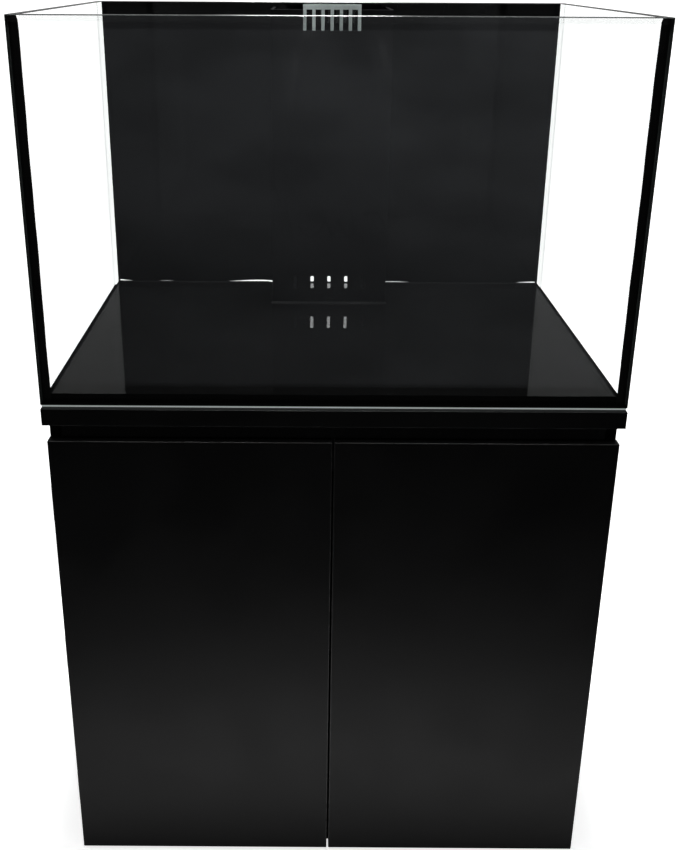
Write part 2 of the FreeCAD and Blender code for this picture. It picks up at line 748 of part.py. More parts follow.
def leaf(name, side, index, on_door):
    """A leaf with its share of the knuckles, bored for the pin."""
    hand = SIDES[side]
    foot = hinge_foot(index)
    if on_door:
        low_y, high_y = door_back, door_back + s.leaf_thickness
    else:
        low_y, high_y = carcass_front - s.leaf_thickness, carcass_front
    edge = half_carcass * hand
    inner = (half_carcass - s.leaf_width) * hand
    left, right = (edge, inner) if hand < 0 else (inner, edge)
    pieces = [box(f"{name}_plate_{index}", (left, low_y, foot),
                  (right, high_y, foot + s.hinge_height))]
    for knuckle in range(1 if on_door else 0, int(s.knuckle_count.value), 2):
        knuckle_foot = foot + knuckle_pitch * knuckle + s.knuckle_gap / 2
        knuckle_height = knuckle_pitch - s.knuckle_gap
        centre = hinge_axis_x * hand
        pieces.append(rod(f"{name}_barrel_{index}_{knuckle}", (centre, hinge_axis_y, knuckle_foot),
                          s.barrel_radius, knuckle_height))
        tongue_left, tongue_right = (centre, edge) if hand < 0 else (edge, centre)
        pieces.append(box(f"{name}_tongue_{index}_{knuckle}", (tongue_left, low_y, knuckle_foot),
                          (tongue_right, high_y, knuckle_foot + knuckle_height)))
    solid = fuse(f"{name}_solid_{index}", pieces)
    bore = rod(f"{name}_bore_{index}", (hinge_axis_x * hand, hinge_axis_y, foot - s.knuckle_gap),
               s.pin_radius + s.pin_play, s.hinge_height + s.knuckle_gap * 2)
    return cut(f"{name}_leaf_{index}", solid, [bore] + leaf_screws(f"{name}_hole", side, index, on_door))


def leaf_screws(name, side, index, on_door):
    """Two countersunk screws through a leaf, their heads flush with its open face."""
    hand = SIDES[side]
    screws = []
    screw_x = (half_carcass - s.leaf_width / 2 - s.hinge_screw_radius) * hand
    middle = hinge_foot(index) + s.hinge_height / 2
    length = s.hinge_screw_length + s.leaf_thickness
    # a door's screws run forward into the door, a frame's back into the side panel
    if on_door:
        shank_y, head_y = door_back + s.leaf_thickness - length, door_back
        front_radius, back_radius = s.hinge_screw_radius, s.hinge_screw_head_radius
    else:
        shank_y, head_y = carcass_front - s.leaf_thickness, carcass_front - s.leaf_thickness
        front_radius, back_radius = s.hinge_screw_head_radius, s.hinge_screw_radius
    for number, way in enumerate((-1, 1)):
        height = middle + s.hinge_screw_spacing / 2 * way
        shank = rod(f"{name}_shank_{index}_{number}", (screw_x, shank_y, height),
                    s.hinge_screw_radius, length, ALONG_Y)
        head = cone(f"{name}_head_{index}_{number}", (screw_x, head_y, height),
                    front_radius, back_radius, s.leaf_thickness, ALONG_Y)
        screws.append(fuse(f"{name}_{index}_{number}", [shank, head]))
    return screws


def hinge_pin(name, side, index):
    """A pin through the five knuckles, with a head at each end."""
    place = (hinge_axis_x * SIDES[side], hinge_axis_y, hinge_foot(index))
    head = s.pin_head_radius
    return turned(f"{name}_{index}", place, [
        (ZERO, -s.pin_head), (head, -s.pin_head), (head, ZERO), (s.pin_radius, ZERO),
        (s.pin_radius, s.hinge_height), (head, s.hinge_height),
        (head, s.hinge_height + s.pin_head), (ZERO, s.hinge_height + s.pin_head)])


hinge_screws = {}
for side in SIDES:
    for place, on_door in (("frame", False), ("door", True)):
        name = f"hinge_{place}_leaves_{side}"
        keep(group(name, [leaf(name, side, index, on_door) for index in range(HINGES_PER_DOOR)]))
        screws = []
        for index in range(HINGES_PER_DOOR):
            screws += leaf_screws(f"hinge_{place}_screw_{side}", side, index, on_door)
        hinge_screws[place, side] = group(f"hinge_{place}_screws_{side}", screws)
        keep(hinge_screws[place, side])
    pins = [hinge_pin(f"hinge_pin_{side}", side, index) for index in range(HINGES_PER_DOOR)]
    keep(group(f"hinge_pins_{side}", pins))


# ---------------------------------------------------------------- push latches
latch_z = door_top - s.latch_below_door_top
latch_face = carcass_front - s.latch_collar
strike_face = door_back + s.strike_thickness
plunger_tip = strike_face + s.plunger_gap
plunger_end = plunger_tip + s.plunger_length
spring_seat = carcass_front + s.latch_length - s.latch_end_wall


def latch(side):
    """A push latch in the rail: housing, sprung plunger and the strike on the door."""
    hand = SIDES[side]
    at_x = s.latch_from_middle * hand
    face = (at_x, latch_face, latch_z)
    bore = s.plunger_radius + s.plunger_play
    body_length = s.latch_collar + s.latch_length
    keep(turned(f"latch_housing_{side}", face, [
        (bore, ZERO), (s.latch_collar_radius, ZERO), (s.latch_collar_radius, s.latch_collar),
        (s.latch_radius, s.latch_collar), (s.latch_radius, body_length), (ZERO, body_length),
        (ZERO, body_length - s.latch_end_wall), (bore, body_length - s.latch_end_wall)], ALONG_Y))
    keep(turned(f"latch_plunger_{side}", (at_x, plunger_tip, latch_z), [
        (ZERO, ZERO), (s.plunger_head_radius, ZERO),
        (s.plunger_radius, s.plunger_radius - s.plunger_head_radius),
        (s.plunger_radius, s.plunger_length), (ZERO, s.plunger_length)], ALONG_Y))
    keep(spring(f"latch_spring_{side}", at_x))
    screw = strike_screw(f"strike_screw_{side}", at_x)
    disc = rod(f"strike_disc_{side}", (at_x, door_back, latch_z), s.strike_radius,
               s.strike_thickness, ALONG_Y)
    keep(cut(f"latch_strike_{side}", disc, [screw]))
    keep(screw)
    return screw


def strike_screw(name, at_x):
    """The strike's one countersunk screw into the back of the door."""
    length = s.strike_screw_length
    shank = rod(f"{name}_shank", (at_x, strike_face - length, latch_z), s.strike_screw_radius,
                length, ALONG_Y)
    head = cone(f"{name}_head", (at_x, door_back, latch_z), s.strike_screw_radius,
                s.strike_screw_head_radius, s.strike_thickness, ALONG_Y)
    return fuse(name, [shank, head])


def spring(name, at_x):
    """A coil spring between the plunger's end and the housing's end wall."""
    coil_length = spring_seat - plunger_end - s.spring_wire * 2
    helix = bind(doc.addObject("Part::Helix", f"{name}_line"), Pitch=coil_length / s.spring_turns,
                 Height=coil_length, Radius=s.spring_radius)
    wire = bind(doc.addObject("Part::Circle", f"{name}_wire"), Radius=s.spring_wire)
    put(wire, (s.spring_radius, ZERO, ZERO), FreeCAD.Rotation(FreeCAD.Vector(1, 0, 0), 90))
    coil = doc.addObject("Part::Sweep", name)
    coil.Sections = [wire]
    coil.Spine = helix
    coil.Solid = True
    coil.Frenet = True
    return put(coil, (at_x, plunger_end + s.spring_wire, latch_z), ALONG_Y)


strike_screws = {side: latch(side) for side in SIDES}
latch_bores = [rod(f"latch_bore_{side}", (s.latch_from_middle * hand, carcass_front, latch_z),
                   s.latch_radius + s.latch_bore_play, s.board, ALONG_Y)
               for side, hand in SIDES.items()]


# ---------------------------------------------------------------- stand: boards
slab = box("slab_board", (-half_slab, slab_front, slab_bottom), (half_slab, slab_back, s.stand_height))
keep(cut("stand_top", slab, passages("slab", s.board_hole_play, slab_bottom, s.stand_height)
         + [dowel_holes]))
for side, hand in SIDES.items():
    left, right = (-half_carcass, -inside_x) if hand < 0 else (inside_x, half_carcass)
    upright = box(f"side_board_{side}", (left, carcass_front, s.glide_height),
                  (right, carcass_back, slab_bottom))
    keep(cut(f"side_panel_{side}", upright, [dowel_holes, hinge_screws["frame", side]]))
keep(cut("cabinet_floor", box("cabinet_floor_board", (-inside_x, carcass_front, s.glide_height),
                              (inside_x, carcass_back, board_top)), [dowel_holes]))
keep(cut("front_rail", box("rail_board", (-inside_x, carcass_front, slab_bottom - s.rail_height),
                           (inside_x, carcass_front + s.board, slab_bottom)),
         [dowel_holes] + latch_bores))

back = body_at("back_board", (ZERO, carcass_back, board_top))
back_height = slab_bottom - board_top
back_outline = draw_outline(sketch_on(back, "back_outline", "XZ_Plane"), [
    (-inside_x, ZERO), (inside_x, ZERO), (inside_x, back_height), (-inside_x, back_height)])
pad(back, "back_sheet", back_outline, s.board)
back_window = draw_slot(sketch_on(back, "back_window_outline", "XZ_Plane"),
                        (-s.back_window_width / 2, s.back_window_bottom),
                        (s.back_window_width / 2, s.back_window_bottom + s.back_window_height),
                        s.back_window_radius)
pocket(back, "back_window", back_window, backwards=True)
keep(cut("back_panel", back, [dowel_holes]))

# nail-on glides under the sides and the cabinet floor's middle
glide_places = [(x, y) for x in (-half_carcass + s.board / 2 + s.glide_inset, ZERO,
                                 half_carcass - s.board / 2 - s.glide_inset)
                for y in (carcass_front + s.board + s.glide_radius,
                          carcass_back - s.board - s.glide_radius)]
keep(group("floor_glides", [turned(f"glide_{number}", (x, y, ZERO), [
    (ZERO, ZERO), (s.glide_radius - s.glide_height / 3, ZERO),
    (s.glide_radius, s.glide_height / 3), (s.glide_radius, s.glide_height),
    (ZERO, s.glide_height)]) for number, (x, y) in enumerate(glide_places)]))


# ---------------------------------------------------------------- doors
for side, hand in SIDES.items():
    meeting = s.door_gap_between / 2 * hand
    outer = half_carcass * hand
    left, right = (outer, meeting) if hand < 0 else (meeting, outer)
    panel = box(f"door_board_{side}", (left, door_front, door_bottom), (right, door_back, door_top))
    keep(cut(f"door_{side}", panel, [hinge_screws["door", side], strike_screws[side]]))
    keep(rod(f"door_bumper_{side}", (s.bumper_inset * hand, door_back, s.glide_height + s.board / 2),
             s.bumper_radius, s.door_gap_behind - s.bumper_play, ALONG_Y))


# ---------------------------------------------------------------- check and write
doc.recompute()
for item in doc.Objects:
    if "Invalid" in item.State or "Error" in item.State:
        raise RuntimeError(f"{item.Label} failed: {item.State}")
os.makedirs("parts", exist_ok=True)
for part in parts:
    if part.Shape.isNull() or not part.Shape.isValid():
        raise RuntimeError(f"{part.Label} has no valid shape")
for part in parts:
    part.Shape.exportStep(os.path.join("parts", f"{part.Label}.step"))
    bounds = part.Shape.BoundBox
    print(f"{part.Label}: {len(part.Shape.Solids)} solids, volume {part.Shape.Volume:.0f} mm3,"
          f" x {bounds.XMin:.1f}..{bounds.XMax:.1f}, y {bounds.YMin:.1f}..{bounds.YMax:.1f},"
          f" z {bounds.ZMin:.1f}..{bounds.ZMax:.1f}")
print(f"{len(parts)} sub-parts")
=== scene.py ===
# %% [markdown]
# # A rimless aquarium on its cabinet stand
#
# The real object is two things stacked. Above is a box of five 12 mm glass panes, held together by
# nothing but black silicone, with a black overflow box standing at the back. Below is a black
# cabinet with two flush doors. The CAD model has already settled every size, hole and joint, so this
# script never moves or resizes anything. It loads that model as a frame and gives it its looks:
# rounded edges, silicone beads, glass, paint, light and a camera.

# %% Load the imported frame
import json
import math
import bpy
import bmesh
from mathutils import Matrix, Vector


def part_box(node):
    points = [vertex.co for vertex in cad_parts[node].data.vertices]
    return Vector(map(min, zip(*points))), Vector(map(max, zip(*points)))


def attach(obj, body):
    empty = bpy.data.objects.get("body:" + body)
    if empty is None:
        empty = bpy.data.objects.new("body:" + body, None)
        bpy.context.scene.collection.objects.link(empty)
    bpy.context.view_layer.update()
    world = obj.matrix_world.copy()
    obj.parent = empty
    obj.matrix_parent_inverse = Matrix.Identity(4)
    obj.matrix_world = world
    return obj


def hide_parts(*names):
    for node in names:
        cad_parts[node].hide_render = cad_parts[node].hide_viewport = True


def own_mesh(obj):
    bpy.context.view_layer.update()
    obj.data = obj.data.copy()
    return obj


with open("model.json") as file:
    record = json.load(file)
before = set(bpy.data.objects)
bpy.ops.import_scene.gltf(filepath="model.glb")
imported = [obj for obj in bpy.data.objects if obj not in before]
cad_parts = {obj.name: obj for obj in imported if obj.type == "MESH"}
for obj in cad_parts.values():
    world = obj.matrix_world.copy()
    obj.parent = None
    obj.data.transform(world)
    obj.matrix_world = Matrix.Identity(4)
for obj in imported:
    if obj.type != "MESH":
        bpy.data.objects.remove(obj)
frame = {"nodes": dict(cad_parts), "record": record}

scene = bpy.context.scene
MM = 0.001
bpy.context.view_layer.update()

# %% [markdown]
# ## How a finished piece joins the frame
#
# Each CAD node belongs to one moving body, such as a door, and names the finish it takes. A new
# piece stands for a node: it rides on the same body and hides the plain node, which stays in the
# scene. Keeping this in one helper means no piece is ever left behind.

# %% Pieces that stand for CAD nodes
BODY_OF = {node: body for body, nodes in frame["record"]["behaviour"]["bodies"].items()
           for node in nodes}
SLOT_OF = {row["node"]: row["material_slot"] for row in frame["record"]["subparts"]}


def stand_for(piece, *nodes):
    """Let a piece take the place of CAD nodes: it rides on their body, and the nodes are hidden."""
    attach(piece, BODY_OF[nodes[0]])
    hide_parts(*nodes)
    return piece


def span(node):
    """A node's lowest and highest corners."""
    low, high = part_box(node)
    return Vector(low), Vector(high)


# %% [markdown]
# ## Camera
#
# The camera stands in front of the tank a little above its rim and looks down 19 degrees, so the
# rim is almost edge-on and the tank's floor is open to view. The lens is shifted a little rather
# than the whole camera turned, because a turn would lean the upright edges the wrong way.

# %% Camera
CAMERA_PLACE = Vector((-0.039, -1.676, 1.542))
LOOK_DOWN = 0.330
LOOK_LEFT = 0.002
LEAN = 0.005

view = bpy.data.objects.new("camera", bpy.data.cameras.new("camera"))
view.data.sensor_width = 36
view.data.lens = 40.99
view.data.shift_x = 0.0378
view.data.shift_y = -0.1447
view.data.clip_start = 0.02
turn = Matrix.Rotation(LOOK_LEFT, 4, "Z") @ Matrix.Rotation(math.pi / 2 - LOOK_DOWN, 4, "X")
view.matrix_world = Matrix.Translation(CAMERA_PLACE) @ turn @ Matrix.Rotation(LEAN, 4, "Z")
scene.collection.objects.link(view)
scene.camera = view
print("camera at", [round(v, 3) for v in CAMERA_PLACE])

# %% [markdown]
# ## Finishes
#
# A finish is a material made of nodes. The patterns read Object coordinates, which are metres
# measured from the stand's middle, so a noise of scale 1000 has features about a millimetre wide
# and stays put when a door swings. A small class keeps the node building short: `add` makes a node
# and sets its sockets by name, and a socket given another node's output is linked to it.

# %% Node building
class Finish:
    """A material built node by node."""

    def __init__(self, name):
        self.material = bpy.data.materials.new(name)
        self.material.use_nodes = True
        self.tree = self.material.node_tree
        self.surface = self.tree.nodes["Principled BSDF"]
        self.output = self.tree.nodes["Material Output"]
        self.places = self.tree.nodes.new("ShaderNodeTexCoord").outputs["Object"]

    def set(self, node, sockets):
        """Set or link each named or numbered input."""
        for name, value in sockets.items():
            if isinstance(value, bpy.types.NodeSocket):
                self.tree.links.new(value, node.inputs[name])
            else:
                node.inputs[name].default_value = value

    def add(self, kind, sockets=(), **settings):
        """Make a node, set its own settings, then its sockets."""
        node = self.tree.nodes.new(f"ShaderNode{kind}")
        for name, value in settings.items():
            setattr(node, name, value)
        self.set(node, dict(sockets))
        return node

    def shine(self, **sockets):
        """Set the main shader's sockets, with _ for the spaces in their names."""
        self.set(self.surface, {name.replace("_", " "): value for name, value in sockets.items()})

    def noise(self, scale, detail=3.0, roughness=0.55, stretch=(1, 1, 1)):
        """Cloudy noise from 0 to 1, with scale features to a metre."""
        places = self.places
        if stretch != (1, 1, 1):
            places = self.add("Mapping", {"Vector": self.places, "Scale": stretch}).outputs[0]
        return self.add("TexNoise", {"Vector": places, "Scale": scale, "Detail": detail,
                                     "Roughness": roughness}).outputs["Fac"]

    def ramp(self, value, low, high, to_low, to_high, smooth=True):
        """Carry a value from one range to another, held at its ends."""
        kind = "SMOOTHSTEP" if smooth else "LINEAR"
        return self.add("MapRange", {"Value": value, "From Min": low, "From Max": high,
                                     "To Min": to_low, "To Max": to_high},
                        interpolation_type=kind).outputs["Result"]

    def math(self, operation, *values):
        """One step of arithmetic."""
        return self.add("Math", dict(enumerate(values)), operation=operation).outputs[0]

    def blend(self, amount, first, second):
        """A colour between two others."""
        node = self.add("Mix", {"Factor": amount}, data_type="RGBA")
        self.set(node, {6: first, 7: second})
        return node.outputs[2]

    def bump(self, height, strength, depth):
        """Raise the surface by a height pattern, depth metres from black to white."""
        return self.add("Bump", {"Height": height, "Strength": strength,
                                 "Distance": depth}).outputs["Normal"]


def grey(level, tint=(1, 1, 1)):
    """A colour as a grey level with a slight tint."""
    return tuple(level * t for t in tint) + (1,)


# %% [markdown]
# ## Black board
#
# The stand is board with a satin black finish. From close by it is not one flat black: sprayed
# paint has a fine orange peel about a millimetre across, its sheen drifts from place to place, and
# a few specks of dust lie on it. The edges are rubbed a little paler and smoother, so they get a
# finish of their own, which the Bevel modifier puts on the rounded strips.

# %% Board finish and its rubbed edge
def board_finish(name, level, sheen, dust_level):
    """Satin black paint: drifting colour and gloss, orange peel, specks of dust."""
    made = Finish(name)
    cloud = made.noise(5.0, 4.0)
    grain = made.noise(700.0, 2.0)
    paint = made.blend(made.ramp(cloud, 0.35, 0.65, 0.0, 1.0), grey(level * 0.8, (0.98, 1, 1.05)),
                       grey(level * 1.2, (0.97, 1, 1.05)))
    paint = made.blend(made.ramp(grain, 0.4, 0.75, 0.0, 0.5), paint, grey(level * 2.2))
    specks = made.add("TexVoronoi", {"Vector": made.places, "Scale": 160.0, "Randomness": 1.0})
    near = made.ramp(specks.outputs["Distance"], 0.03, 0.07, 1.0, 0.0)
    patchy = made.ramp(made.noise(14.0), 0.5, 0.7, 0.0, 1.0)
    dusty = made.math("MULTIPLY", near, patchy)
    paint = made.blend(dusty, paint, grey(dust_level))
    rough = made.ramp(made.noise(9.0, 5.0), 0.3, 0.7, sheen - 0.04, sheen + 0.05)
    rough = made.math("ADD", rough, made.math("MULTIPLY", grain, 0.05))
    made.shine(Base_Color=paint, Roughness=rough, Specular_IOR_Level=0.2,
               Normal=made.bump(grain, 0.25, 0.00012))
    return made.material


def rubbed_edge(name, level, sheen):
    """The same paint on a rounded edge, worn paler in stretches."""
    made = Finish(name)
    wear = made.ramp(made.noise(30.0, 5.0), 0.35, 0.7, 0.0, 1.0)
    made.shine(Base_Color=made.blend(wear, grey(level * 0.6), grey(level * 1.5)),
               Roughness=made.ramp(wear, 0.0, 1.0, sheen + 0.06, sheen - 0.04),
               Specular_IOR_Level=0.5, Normal=made.bump(made.noise(500.0), 0.15, 0.0001))
    return made.material


black_board = board_finish("satin_black_board", 0.0035, 0.36, 0.03)
board_edge = rubbed_edge("rubbed_black_edge", 0.02, 0.3)
print("board finishes:", black_board.name, board_edge.name)

# %% [markdown]
# ## Glass
#
# A clean 12 mm pane is seen only by what it reflects: 4 parts in 100 face on, and almost all of it
# at a glancing angle. So the face finish lets light straight through and mixes in a mirror by
# Schlick's rule, which works the same on the way in and on the way out. It also carries a faint
# haze of dust and finger marks. On the front pane the haze is far thicker, grows towards the top
# and the right, and is cut off over the black side strips and along a low band at the tank's floor,
# which leaves those parts darker. The cut edges are different: they are ground and polished, light
# piles up in them, and they read as solid pale green-grey lines. They get their own finish.

# %% Glass finishes
def glass_face(name, bloom, grazing=0.957, haze_cut_border=False):
    """Clear glass seen face on: a mirror by angle, and a share of diffuse haze."""
    made = Finish(name)
    facing = made.add("LayerWeight", {"Blend": 0.5}).outputs["Facing"]
    mirror = made.math("MULTIPLY_ADD", made.math("POWER", facing, 5.0), grazing, 0.043)
    clear = made.add("BsdfTransparent", {"Color": (0.993, 0.998, 0.996, 1)})
    gloss = made.add("BsdfGlossy", {"Color": (1, 1, 1, 1), "Roughness": 0.012})
    pane = made.add("MixShader", {0: mirror, 1: clear.outputs[0], 2: gloss.outputs[0]})
    smear = made.ramp(made.noise(3.5, 6.0, 0.6, (1, 1, 2.2)), 0.3, 0.7, 0.7, 1.3)
    share = made.math("MULTIPLY", smear, bloom)
    # Where asked, the haze is cut off over the black side strips and below a line just above the tank's
    # floor, which leaves those parts darker. It also thickens towards the top and the right.
    if haze_cut_border:
        parts = made.add("SeparateXYZ", {"Vector": made.places})
        sideways = made.math("ABSOLUTE", parts.outputs["X"])
        inside = made.math("MULTIPLY", made.ramp(sideways, 0.434, 0.440, 1.0, 0.0),
                           made.ramp(parts.outputs["Z"], 0.932, 0.936, 0.0, 1.0))
        taller = made.math("MULTIPLY", made.ramp(parts.outputs["Z"], 1.08, 1.30, 0.6, 1.0),
                           made.ramp(parts.outputs["X"], -0.4, 0.4, 0.88, 1.4))
        share = made.math("MULTIPLY", share, made.math("MULTIPLY", inside, taller))
    dust = made.add("BsdfDiffuse", {"Color": (0.74, 0.78, 0.83, 1)})
    whole = made.add("MixShader", {0: share, 1: pane.outputs[0], 2: dust.outputs[0]})
    made.tree.nodes.remove(made.surface)
    made.set(made.output, {"Surface": whole.outputs[0]})
    return made.material


def glass_edge(name, level, **extra):
    """Ground and polished glass edge, with fine marks along it."""
    made = Finish(name)
    streak = made.noise(60.0, 4.0, 0.6, (1, 1, 6))
    tone = made.blend(streak, grey(level * 0.7, (0.86, 1.0, 0.96)), grey(level * 1.3, (0.9, 1.0, 0.97)))
    made.shine(Base_Color=tone, Roughness=made.ramp(streak, 0.3, 0.7, 0.05, 0.14),
               IOR=1.52, Normal=made.bump(made.noise(900.0), 0.1, 0.00005), **extra)
    return made.material


clear_glass = glass_face("clear_glass_face", 0.0004)
side_glass = glass_face("side_glass_face", 0.0004, grazing=0.12)
front_glass = glass_face("front_glass_face", 0.036, haze_cut_border=True)
polished_edge = glass_edge("polished_glass_edge", 0.05)
# A darker, duller copy of the polished edge, used on the side panes' top edges: painted shade, since the
# same glass edge is pale elsewhere.
edge_painted_shade = glass_edge("glass_edge_painted_shade", 0.006, Specular_IOR_Level=0.06)
print("glass finishes:", clear_glass.name, side_glass.name, front_glass.name, polished_edge.name)

# %% [markdown]
# ## Silicone, plastic, film and foam
#
# The small black parts differ mostly in gloss: cured silicone is wet-looking with soft lumps,
# acrylic is nearly a mirror with hair scratches, vinyl film is flat, foam is matt with open pores,
# and moulded plastic has a spark-eroded grain. One function covers them, because they share a build:
# a base colour that drifts, a roughness that drifts, and a bump of the right size.

# %% Plain finishes
def plain_finish(name, colour, rough, grain_scale, grain_depth, drift=0.25, **extra):
    """A solid material whose colour and gloss drift and whose grain has a given size."""
    made = Finish(name)
    cloud = made.noise(18.0, 4.0)
    grain = made.noise(grain_scale, 3.0)
    dark = tuple(c * (1 - drift) for c in colour) + (1,)
    pale = tuple(min(1.0, c * (1 + drift)) for c in colour) + (1,)
    amount = made.math("ADD", made.math("MULTIPLY", cloud, 0.7), made.math("MULTIPLY", grain, 0.3))
    made.shine(Base_Color=made.blend(made.ramp(amount, 0.3, 0.7, 0.0, 1.0), dark, pale),
               Roughness=made.ramp(cloud, 0.3, 0.7, rough * 0.85, rough * 1.15),
               Normal=made.bump(grain, 0.3, grain_depth), **extra)
    return made.material


FINISH_OF = {
    "black_silicone": plain_finish("wet_black_silicone", (0.003, 0.003, 0.0032), 0.22, 160, 0.0003),
    "black_film": plain_finish("black_vinyl_film", (0.0015, 0.0016, 0.0017), 0.5, 420, 0.00005,
                               Specular_IOR_Level=0.04),
    # The pale foam also glows through a weak emission over all its faces. This is a painted glow, not a
    # lamp, standing in for the light the pane above sends into it, so the mat's front edge reads as a
    # bright line.
    "pale_foam": plain_finish("pale_foam_with_painted_glow", (0.66, 0.71, 0.70), 0.9, 1500, 0.0004,
                              Emission_Color=(0.8, 0.88, 0.86, 1), Emission_Strength=0.3),
    "black_acrylic": plain_finish("polished_black_acrylic", (0.003, 0.003, 0.0033), 0.09, 90, 0.000005),
    "frosted_acrylic": plain_finish("frosted_pale_acrylic", (0.54, 0.61, 0.60), 0.4, 700, 0.00008),
    "bulkhead_plastic": plain_finish("moulded_black_plastic", (0.012, 0.012, 0.013), 0.42, 1100, 0.0002),
    "gasket_rubber": plain_finish("gasket_rubber", (0.009, 0.009, 0.009), 0.75, 1300, 0.0002),
    "pipe_plastic": plain_finish("grey_pipe_plastic", (0.035, 0.037, 0.04), 0.32, 900, 0.0001),
    "black_board": black_board,
    "dowel_wood": plain_finish("beech_dowel", (0.52, 0.36, 0.21), 0.6, 350, 0.0002),
    "glide_plastic": plain_finish("glide_plastic", (0.012, 0.012, 0.012), 0.5, 1200, 0.0002),
    "hinge_steel": plain_finish("blackened_hinge_steel", (0.03, 0.03, 0.032), 0.34, 600, 0.00008,
                                Metallic=0.7),
    "screw_steel": plain_finish("zinc_screw_steel", (0.32, 0.32, 0.33), 0.3, 800, 0.00008,
                                Metallic=1.0),
    "latch_plastic": plain_finish("black_latch_plastic", (0.014, 0.014, 0.015), 0.4, 1100, 0.0001),
    "plunger_plastic": plain_finish("grey_plunger_plastic", (0.2, 0.2, 0.21), 0.35, 1000, 0.0001),
    "spring_steel": plain_finish("spring_steel", (0.55, 0.55, 0.56), 0.22, 700, 0.00004,
                                 Metallic=1.0),
    "strike_steel": plain_finish("plated_strike_steel", (0.42, 0.42, 0.43), 0.25, 500, 0.00005,
                                 Metallic=1.0),
    "bumper_rubber": plain_finish("clear_soft_bumper", (0.42, 0.43, 0.43), 0.18, 400, 0.00005),
    "clear_glass": clear_glass,
}
# Near-black for downward faces. Under the floor pane it is the real painted underside. On the upright
# panes' bottom edges, where they stand on the mat, it is painted shade.
underside_paint_and_shade = plain_finish("underside_paint_and_shade", (0.0003, 0.0003, 0.0003), 0.8, 300, 0.00005,
                                 Specular_IOR_Level=0.01)
sawn_edge = plain_finish("sawn_black_edge", (0.004, 0.004, 0.0043), 0.75, 800, 0.0002,
                         Specular_IOR_Level=0.05)
dull_silicone = plain_finish("dull_black_silicone", (0.0006, 0.0006, 0.0007), 0.6, 160, 0.0003,
                             Specular_IOR_Level=0.03)
for node, piece in frame["nodes"].items():
    piece.data.materials.clear()
    piece.data.materials.append(dull_silicone if node == "seal_overflow" else
                                FINISH_OF[SLOT_OF[node]])
print(len(FINISH_OF), "finishes on", len(frame["nodes"]), "nodes")

# %% [markdown]
# ## Blocks with rounded edges
#
# Most of the stand and the tank are sheets cut square. A real cut edge is never sharp, and the thin
# line of light along it is most of what tells a black board from a black hole. So each sheet is
# rebuilt at its node's exact corners, and a Bevel modifier rounds its edges and gives them the edge
# finish. Holes are cut with a boolean first, so that their rims get the same small round.

# %% Sheets, holes and rounded edges
def put_in_scene(name, mesh, *finishes):
    """Make an object of a mesh, in the scene, with its finishes."""
    piece = bpy.data.objects.new(name, mesh)
    scene.collection.objects.link(piece)
    for finish in finishes:
        piece.data.materials.append(finish)
    return piece


def sheet_mesh(name, low, high):
    """A closed block between two corners."""
    mesh = bpy.data.meshes.new(name)
    work = bmesh.new()
    bmesh.ops.create_cube(work, size=1.0)
    size = high - low
    bmesh.ops.scale(work, vec=size, verts=work.verts)
    bmesh.ops.translate(work, vec=(low + high) / 2, verts=work.verts)
    work.to_mesh(mesh)
    work.free()
    return mesh


def round_edges(piece, radius, steps=3, finish_index=0, angle=35):
    """Round every sharp edge, with smooth shading that leaves the flats flat."""
    piece.data.shade_smooth()
    bevel = piece.modifiers.new("rounded edges", "BEVEL")
    bevel.width = radius
    bevel.segments = steps
    bevel.limit_method = "ANGLE"
    bevel.angle_limit = math.radians(angle)
    bevel.material = finish_index
    bevel.harden_normals = True
    return piece


def settle(piece):
    """Turn what a piece's modifiers make into its plain mesh, and take them off."""
    graph = bpy.context.evaluated_depsgraph_get()
    made = bpy.data.meshes.new_from_object(piece.evaluated_get(graph))
    piece.modifiers.clear()
    piece.data = made
    return piece


def cut_away(piece, cutters):
    """Take each cutter mesh out of a piece."""
    tools = [put_in_scene("cutter", cutter) for cutter in cutters]
    for tool in tools:
        step = piece.modifiers.new("cut", "BOOLEAN")
        step.object = tool
        step.operation = "DIFFERENCE"
        step.solver = "EXACT"
    settle(piece)
    for tool in tools:
        bpy.data.objects.remove(tool)
    return piece


def rod_mesh(name, centre, radius, low, high, axis=2, sides=96):
    """A closed cylinder along x, y or z, between two places on that axis."""
    mesh = bpy.data.meshes.new(name)
    work = bmesh.new()
    bmesh.ops.create_cone(work, cap_ends=True, segments=sides, radius1=radius, radius2=radius,
                          depth=high - low)
    if axis < 2:
        turn = Matrix.Rotation(math.pi / 2, 3, "Y" if axis == 0 else "X")
        bmesh.ops.rotate(work, matrix=turn, verts=work.verts)
    place = Vector(centre)
    place[axis] = (low + high) / 2
    bmesh.ops.translate(work, vec=place, verts=work.verts)
    work.to_mesh(mesh)
    work.free()
    return mesh


def middle(node):
    """The middle of a node's box."""
    low, high = span(node)
    return (low + high) / 2


# %% [markdown]
# ## Stand boards
#
# The slab, the two sides, the cabinet floor, the rail over the doors and the back panel are the
# stand's boards. They are sheets with a 1 mm round. The slab also has the two holes that the tank's
# bulkheads hang through, and the back panel has the window for hoses.

# %% Stand boards
BOARD_ROUND = 1.2 * MM
SLAB_ROUND = 1.8 * MM
SLAB_HOLES = {"drain_bulkhead": 34.0 * MM, "return_bulkhead": 30.65 * MM}
LATCH_BORE = 5.05 * MM


def board(name, node, cutters=(), radius=BOARD_ROUND, paint=black_board):
    """A painted board in place of its node."""
    low, high = span(node)
    piece = put_in_scene(name, sheet_mesh(name, low, high), paint, board_edge)
    if cutters:
        cut_away(piece, cutters)
    return stand_for(round_edges(piece, radius, 3, 1), node)


slab_low, slab_high = span("stand_top")
slab = put_in_scene("slab", sheet_mesh("slab", slab_low, slab_high), black_board, board_edge)
cut_away(slab, [rod_mesh(fitting, middle(fitting), radius, slab_low.z - MM, slab_high.z + MM)
                for fitting, radius in SLAB_HOLES.items()])
settle(round_edges(slab, SLAB_ROUND, 3, 1))
stand_for(slab, "stand_top")

